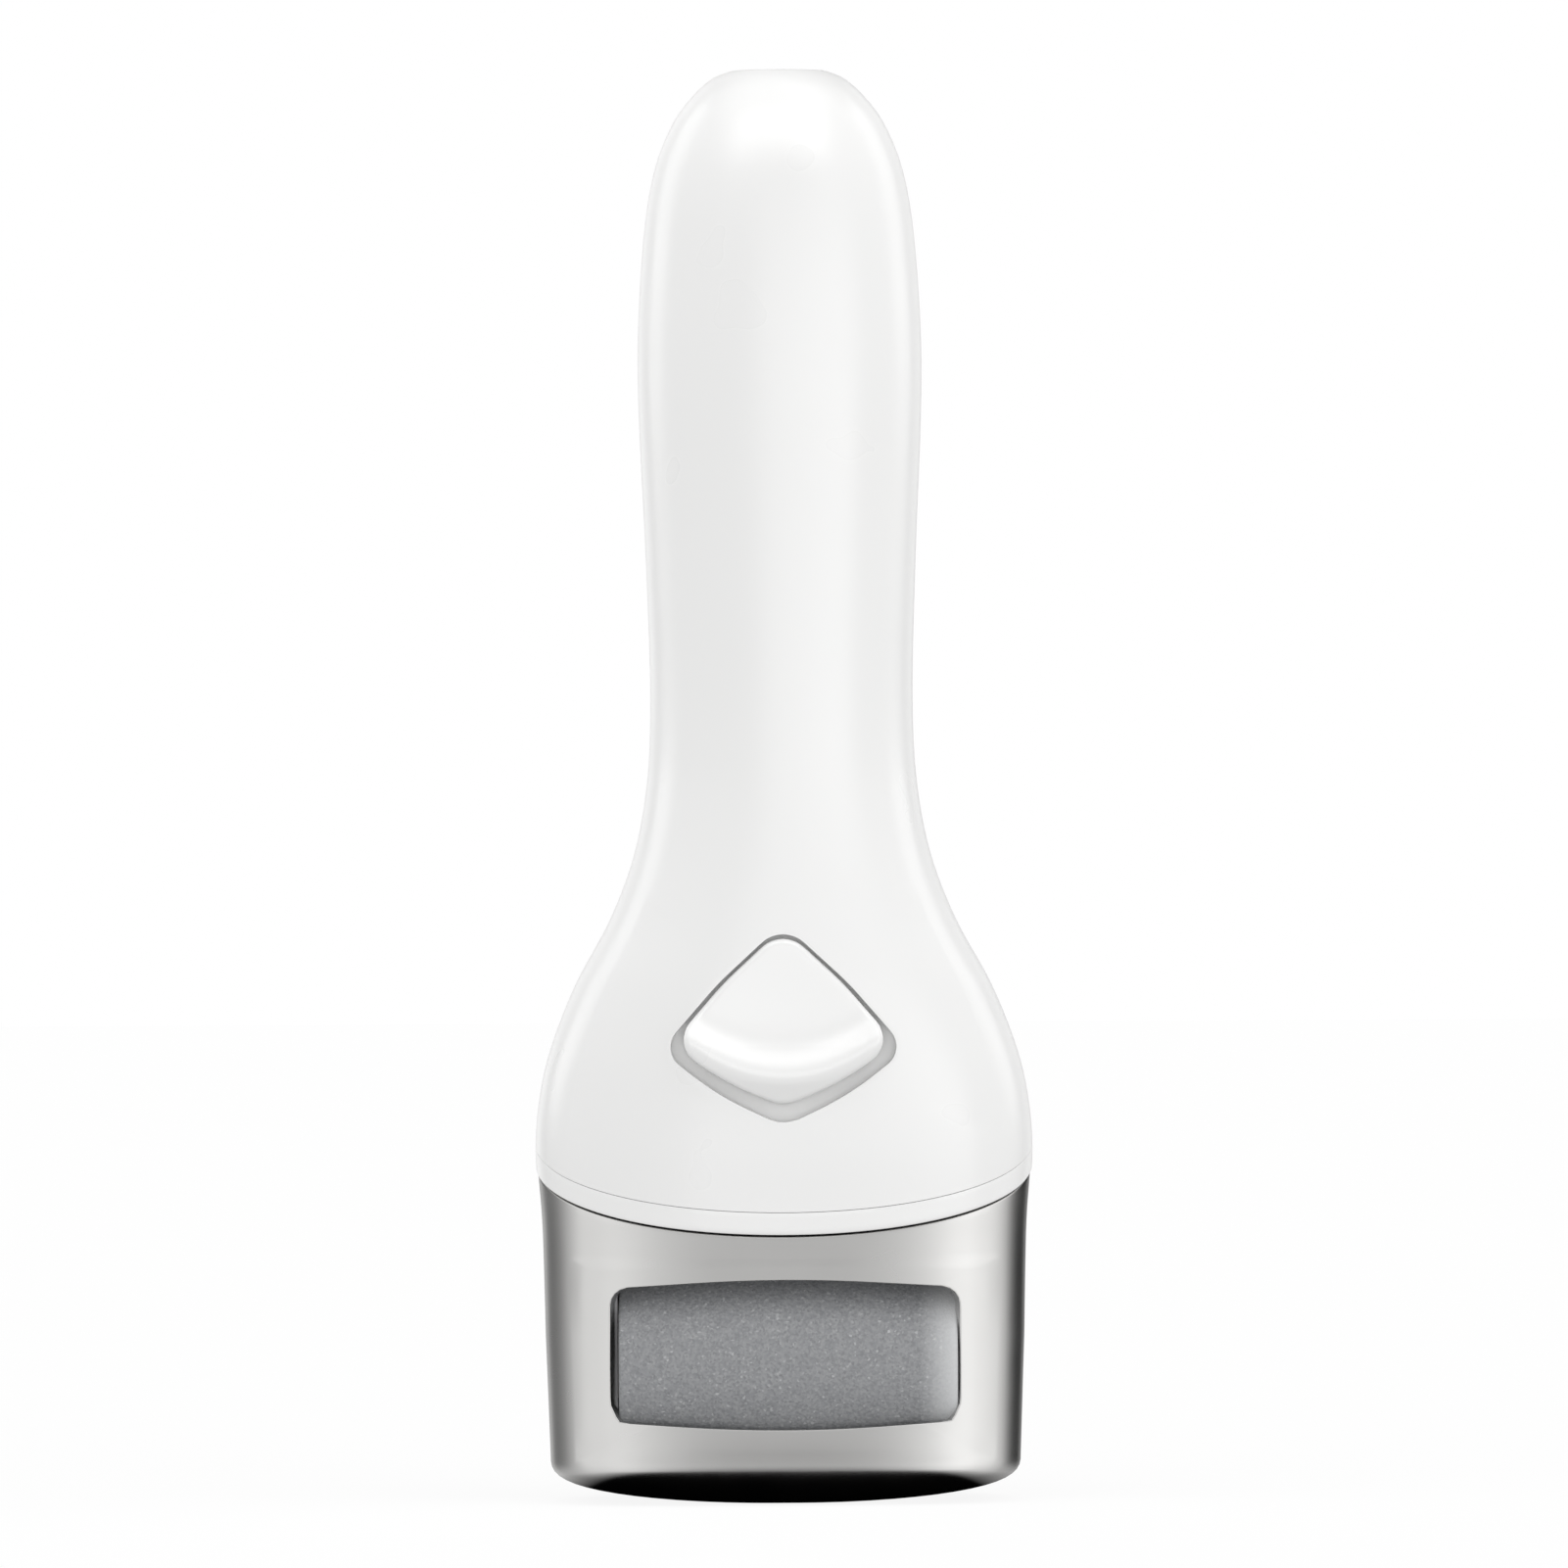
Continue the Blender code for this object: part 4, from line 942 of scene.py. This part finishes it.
def grit():
    """Grinding minerals in resin: grey grains, some bright and some dark, and a painted highlight that
    pales the right end.
    """
    look = Look("grey_grit", (0.30, 0.31, 0.325), 0.62)
    look.set(Specular_IOR_Level=0.6)
    tone = look.ramp(
        look.cells(0.27, output="Color"),
        (0.0, (0.127, 0.13, 0.136)),
        (0.45, (0.166, 0.17, 0.177)),
        (0.85, (0.20, 0.204, 0.208)),
        (1.0, (0.32, 0.325, 0.33)),
    )
    parts = look.tree.nodes.new("ShaderNodeSeparateXYZ")
    look.tree.links.new(look.place, parts.inputs["Vector"])
    # The painted highlight: the grain's tone turns pale towards the right end
    end_highlight = look.tree.nodes.new("ShaderNodeMix")
    end_highlight.data_type = "RGBA"
    share = look.spread(parts.outputs["X"], 0.0, 1.0, *END_HIGHLIGHT_SPAN)
    look.tree.links.new(share, end_highlight.inputs[MIX_FACTOR])
    look.tree.links.new(tone, end_highlight.inputs[MIX_A])
    end_highlight.inputs[MIX_B].default_value = (*END_HIGHLIGHT_TONE, 1.0)
    look.link(end_highlight.outputs[MIX_RESULT], "Base Color")
    look.link(look.spread(look.cells(0.30, output="Color"), 0.4, 0.8, 0.1, 0.9), "Roughness")
    fine = look.bump(look.cells(0.27), 0.05, strength=0.5)
    look.bump(look.noise(0.5, 4.0, 0.7), 0.03, below=fine, strength=0.4)
    return look


def cell_wrap():
    look = moulded("cell_wrap_blue", (0.05, 0.17, 0.42), 0.28)
    look.bump(look.noise(2.0, 2.0, 0.5, (1.0, 1.0, 6.0)), 0.02)
    return look


def circuit_green():
    look = Look("board_green", (0.015, 0.12, 0.045), 0.35)
    tracks = look.cells(2.2, "DISTANCE_TO_EDGE")
    copper = look.ramp(tracks, (0.04, (0.05, 0.28, 0.10)), (0.08, (0.012, 0.11, 0.04)))
    look.link(copper, "Base Color")
    look.bump(tracks, 0.03)
    return look


NODE_LOOKS = {
    "switch_tray": "tray",
    "head_housing": "silver",
    "roller_carrier": "black",
    "roller_core": "black",
    "switch_housing": "black",
    "switch_stem": "black",
    "battery_cradle": "black",
    "socket_tongue": "black",
    "reduction_gear": "acetal",
    "idler_gear": "acetal",
    "roller_gear": "acetal",
    "motor_pinion": "brass",
    "roller_bush_left": "brass",
    "roller_bush_right": "brass",
    "circuit_board": "board",
    "charge_board": "board",
    "battery_cell": "wrap",
    "collar_seal": "rubber",
    "wire_cell_plus": "red",
    "wire_charge": "red",
    "wire_motor": "red",
    "wire_cell_minus": "black",
}


def make_looks():
    return {
        "white": white_plastic("satin_white_abs", 0.745),
        # The tray is the casing's white, made lighter: painted light that lifts the shade in the recess
        "tray": white_plastic("recess_white_painted_light", 0.84),
        "button": white_plastic("button_white", 0.77),
        "silver": silver_finish(),
        "grit": grit(),
        # The two guards are one grey part: the dark copy is painted shade, the pale copy painted light
        "shade_painted_guard": moulded("painted_shade_grey", (0.17, 0.17, 0.175), 0.5, 0.3, 0.004),
        "light_painted_guard": moulded("painted_light_grey", (0.62, 0.62, 0.62), 0.5, 0.3, 0.004),
        "black": moulded("black_nylon", (0.028, 0.028, 0.030), 0.45),
        "acetal": moulded("natural_acetal", (0.70, 0.68, 0.60), 0.38),
        "rubber": moulded("black_rubber", (0.02, 0.02, 0.02), 0.75, 0.5, 0.01),
        "red": moulded("red_insulation", (0.45, 0.02, 0.015), 0.4),
        "brass": metal("turned_brass", (0.72, 0.53, 0.22), 0.28, (6.0, 1.0, 1.0)),
        "steel": metal("plain_steel", (0.58, 0.58, 0.58), 0.30, (1.0, 1.0, 5.0)),
        "wrap": cell_wrap(),
        "board": circuit_green(),
    }


def wear(obj, look):
    obj.data.materials.clear()
    obj.data.materials.append(look.material)


# Stage ---------------------------------------------------------------------------------
CAMERA_DISTANCE = 1.5
VIEW_WIDTH = 0.18892
VIEW_MIDDLE = 0.0862
VIEW_ASIDE = 0.00025
VIEW_ROLL = math.radians(0.33)
SENSOR = 36.0


def make_camera():
    """A long lens from straight in front, with the slight roll and shift of the view."""
    data = bpy.data.cameras.new("camera")
    data.sensor_width = SENSOR
    data.lens = SENSOR * CAMERA_DISTANCE / VIEW_WIDTH
    camera = bpy.data.objects.new("camera", data)
    camera.location = (VIEW_ASIDE, -CAMERA_DISTANCE, VIEW_MIDDLE)
    camera.rotation_euler = (math.pi / 2, VIEW_ROLL, 0.0)
    bpy.context.scene.collection.objects.link(camera)
    bpy.context.scene.camera = camera


# Brightness of the studio round the horizon: degrees to the camera's right, brightness
STUDIO_RING = (
    (-180, 0.55),
    (-163, 0.60),
    (-147, 0.30),
    (-132, 0.20),
    (-113, 0.26),
    (-95, 0.50),
    (-77, 0.83),
    (-63, 1.09),
    (-50, 1.08),
    (-37, 1.18),
    (-26, 1.08),
    (-15, 0.86),
    (-8, 0.74),
    (0, 0.62),
    (8, 0.72),
    (15, 0.90),
    (26, 1.16),
    (34, 1.42),
    (45, 1.52),
    (57, 1.36),
    (70, 1.26),
    (85, 0.98),
    (99, 0.66),
    (113, 0.22),
    (132, 0.03),
    (147, 0.03),
    (163, 0.30),
    (180, 0.50),
)
# By height, as the sine of the elevation: the factor on the ring's brightness, and the
# even brightness of the ground, which only reflections see
STUDIO_RISE = (
    (-1.0, 0.2), (-0.5, 0.35), (-0.15, 0.9), (0.0, 1.0), (0.3, 1.0), (0.6, 1.1), (1.0, 1.3)
)
STUDIO_GROUND = ((-1.0, 0.62), (-0.5, 0.50), (-0.15, 0.08), (0.0, 0.0), (1.0, 0.0))


class Nodes:
    """Short calls for wiring a node tree."""

    def __init__(self, tree):
        self.tree = tree
        tree.nodes.clear()

    def add(self, kind, inputs=(), **settings):
        """A node, its settings, and its inputs as values or as the outputs that feed them."""
        node = self.tree.nodes.new(kind)
        for name, value in settings.items():
            setattr(node, name, value)
        for key, value in dict(inputs).items():
            if isinstance(value, bpy.types.NodeSocket):
                self.tree.links.new(value, node.inputs[key])
            else:
                node.inputs[key].default_value = value
        return node

    def curve(self, source, table, low, high):
        """A smooth curve through (position, level) rows, and the level at its top."""
        share = self.add(
            "ShaderNodeMapRange", {"Value": source, "From Min": low, "From Max": high}
        )
        node = self.add("ShaderNodeFloatCurve", {"Value": share.outputs["Result"]})
        top = max(level for _, level in table)
        curve = node.mapping.curves[0]
        while len(curve.points) < len(table):
            curve.points.new(0.5, 0.5)
        for point, (position, level) in zip(curve.points, table):
            point.location = ((position - low) / (high - low), level / top)
        node.mapping.update()
        return node.outputs["Value"], top


def make_world():
    """A pure white sheet for the camera, and soft boxes all round for everything else."""
    world = bpy.data.worlds.new("studio")
    world.use_nodes = True
    nodes = Nodes(world.node_tree)
    direction = nodes.add("ShaderNodeTexCoord").outputs["Generated"]
    parts = nodes.add("ShaderNodeSeparateXYZ", {"Vector": direction}).outputs
    towards = nodes.add("ShaderNodeMath", {0: parts["Y"], 1: -1.0}, operation="MULTIPLY")
    turn = nodes.add("ShaderNodeMath", {0: parts["X"], 1: towards.outputs[0]}, operation="ARCTAN2")
    degrees = nodes.add("ShaderNodeMath", {0: turn.outputs[0]}, operation="DEGREES")
    ring, ring_top = nodes.curve(degrees.outputs[0], STUDIO_RING, -180, 180)
    rise, rise_top = nodes.curve(parts["Z"], STUDIO_RISE, -1.0, 1.0)
    ground, ground_top = nodes.curve(parts["Z"], STUDIO_GROUND, -1.0, 1.0)
    around = nodes.add("ShaderNodeMath", {0: ring, 1: rise}, operation="MULTIPLY")
    top = ring_top * rise_top
    level = nodes.add(
        "ShaderNodeMath",
        {0: ground, 1: ground_top / top, 2: around.outputs[0]},
        operation="MULTIPLY_ADD",
    )
    boxes = nodes.add("ShaderNodeBackground", {"Color": level.outputs[0], "Strength": top})
    sheet = nodes.add("ShaderNodeBackground", {"Color": (1.0, 1.0, 1.0, 1.0)})
    seen = nodes.add("ShaderNodeLightPath").outputs["Is Camera Ray"]
    mix = nodes.add("ShaderNodeMixShader", {0: seen, 1: boxes.outputs[0], 2: sheet.outputs[0]})
    nodes.add("ShaderNodeOutputWorld", {"Surface": mix.outputs[0]})
    bpy.context.scene.world = world


# The dark card's half width and half depth in mm, and the share of them that fades out
CARD_REACH = (30.0, 46.0)
CARD_FADE = 0.20


def make_floor():
    """A large pale floor that reflections don't see."""
    bpy.ops.mesh.primitive_plane_add(size=6.0, location=(0.0, 0.0, 0.0))
    floor = bpy.context.object
    floor.name = "studio_floor"
    look = Look("pale_floor", (0.12, 0.12, 0.12), 1.0)
    look.set(Emission_Color=(1.0, 1.0, 1.0, 1.0), Emission_Strength=0.90, Specular_IOR_Level=0.0)
    wear(floor, look)
    floor.visible_glossy = False


def make_card():
    """A dark card under the head that only reflections see, soft towards its edge."""
    height = 0.05
    bm = bmesh.new()
    bmesh.ops.create_circle(bm, cap_ends=True, segments=64, radius=1.0)
    for vert in bm.verts:
        vert.co = Vector((vert.co.x * CARD_REACH[0], vert.co.y * CARD_REACH[1], height))
    card = to_object("dark_card", bm)
    look = Look("card_black", (0.0, 0.0, 0.0), 1.0, Specular_IOR_Level=0.0)
    scaled = look.tree.nodes.new("ShaderNodeMapping")
    scaled.inputs["Scale"].default_value = (1 / (CARD_REACH[0] * MM), 1 / (CARD_REACH[1] * MM), 0)
    look.tree.links.new(look.place, scaled.inputs["Vector"])
    fall = look.tree.nodes.new("ShaderNodeTexGradient")
    fall.gradient_type = "SPHERICAL"
    look.tree.links.new(scaled.outputs[0], fall.inputs[0])
    look.link(look.spread(fall.outputs["Fac"], 0.0, 1.0, 0.0, CARD_FADE), "Alpha")
    wear(card, look)
    for ray in ("camera", "diffuse", "shadow", "transmission"):
        setattr(card, f"visible_{ray}", False)


def soft_box(name, azimuth, elevation, distance, size, brightness, receivers, gloss_only=False):
    """A rectangular light that faces the object's middle and reaches only the receivers."""
    data = bpy.data.lights.new(name, "AREA")
    data.shape = "RECTANGLE"
    data.size, data.size_y = size
    data.energy = brightness * math.pi * size[0] * size[1]
    light = bpy.data.objects.new(name, data)
    turn, rise = math.radians(azimuth), math.radians(elevation)
    towards = Vector(
        (math.sin(turn) * math.cos(rise), -math.cos(turn) * math.cos(rise), math.sin(rise))
    )
    light.location = Vector((0.0, 0.0, VIEW_MIDDLE)) + towards * distance
    light.rotation_euler = (-towards).to_track_quat("-Z", "Y").to_euler()
    light.visible_diffuse = not gloss_only
    light.light_linking.receiver_collection = receivers
    bpy.context.scene.collection.objects.link(light)
    return light


def collection(name, pieces):
    """The pieces that a light is meant for."""
    group = bpy.data.collections.new(name)
    for obj in pieces:
        group.objects.link(obj)
    return group


def make_lights(white_pieces, roller_pieces):
    """Soft boxes for the white pieces, all round, and a low one that fills the roller."""
    white = collection("white_pieces", white_pieces)
    roller = collection("roller_pieces", roller_pieces)
    soft_box("front_gloss", 21, -3, 0.8, (0.95, 0.5), 2.1, white, gloss_only=True)
    soft_box("left_edge", -150, 5, 0.7, (0.3, 0.8), 0.70, white, gloss_only=True)
    soft_box("right_edge", 150, 5, 0.7, (0.3, 0.8), 0.75, white, gloss_only=True)
    soft_box("ridge_gloss", 0, 50, 0.6, (0.7, 0.22), 3.0, white, gloss_only=True)
    soft_box("left_rim", -112, 25, 0.7, (0.35, 0.6), 2.2, white)
    soft_box("right_rim", 112, 25, 0.7, (0.35, 0.6), 1.9, white)
    soft_box("top_light", -10, 80, 0.35, (0.4, 0.25), 0.9, white)
    for name, elevation, brightness in (("roller_low", -21, 4.6), ("roller_high", 34, 5.0)):
        fill = soft_box(name, 0, elevation, 0.8, (0.9, 0.12), brightness, roller)
        fill.light_linking.blocker_collection = roller


# Assembly ------------------------------------------------------------------------------
def place(obj, look, body, *nodes):
    """Dresses a piece, lets it ride on its body and stand for its CAD nodes."""
    wear(obj, look)
    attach(obj, body)
    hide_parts(*nodes)
    return obj


def place_casing(looks):
    """The white shells, the collar and the button, which the white lights reach."""
    white = looks["white"]
    return [
        place(front_shell(), white, "handle", "front_shell"),
        place(back_shell(), white, "handle", "back_shell"),
        place(collar(), white, "handle", "head_collar"),
        place(slide_button(), looks["button"], "switch", "slide_button"),
    ]


def place_roller(looks):
    """The sleeve and its two end caps."""
    pieces = [place(grinding_sleeve(), looks["grit"], "roller", "abrasive_sleeve")]
    for name, node, side in (
        ("end_cap_left", "roller_cap_left", -1),
        ("end_cap_right", "roller_cap_right", 1),
    ):
        cap = roller_cap(name, node, side)
        pieces.append(place(cap, looks["grit"], "roller", node))
    return pieces


def place_lips(looks):
    """The strips inside the parting line, which stand for no CAD node."""
    lips = []
    for name, turn in (("right_parting_lip", 0.0), ("left_parting_lip", math.pi)):
        lip = parting_lip(name, turn)
        wear(lip, looks["white"])
        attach(lip, "handle")
        lips.append(lip)
    return lips


def place_guards(looks):
    """The strips beside the roller, which stand for no CAD node; the left one's dark grey is painted
    shade and the right one's pale grey is painted light.
    """
    guards = window_guards()
    for guard, look in zip(guards, ("shade_painted_guard", "light_painted_guard")):
        wear(guard, looks[look])
        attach(guard, "head_unit")
    return guards


def place_screws(looks):
    """Three screws in the casing and two in the head."""
    for name, node_name, body, spots in (
        ("casing_screw", "shell_screw", "handle", SHELL_SCREWS),
        ("head_screw", "carrier_screw", "head_unit", CARRIER_SCREWS),
    ):
        for i in range(1, len(spots) + 1):
            node = f"{node_name}_{i}"
            place(cross_screw(f"{name}_{i}", node), looks["steel"], body, node)


def build():
    looks = make_looks()
    white_pieces = place_casing(looks)
    place(head_housing(), looks["silver"], "head_unit", "head_housing")
    roller_pieces = place_roller(looks)
    white_pieces += place_lips(looks)
    roller_pieces += place_guards(looks)
    place_screws(looks)
    for name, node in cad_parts.items():
        if not node.hide_render:
            wear(node, looks[NODE_LOOKS.get(name, "steel")])
    white_pieces.append(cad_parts["switch_tray"])
    make_camera()
    make_world()
    make_floor()
    make_card()
    make_lights(white_pieces, roller_pieces)
    bpy.context.scene.view_settings.view_transform = "Standard"


build()
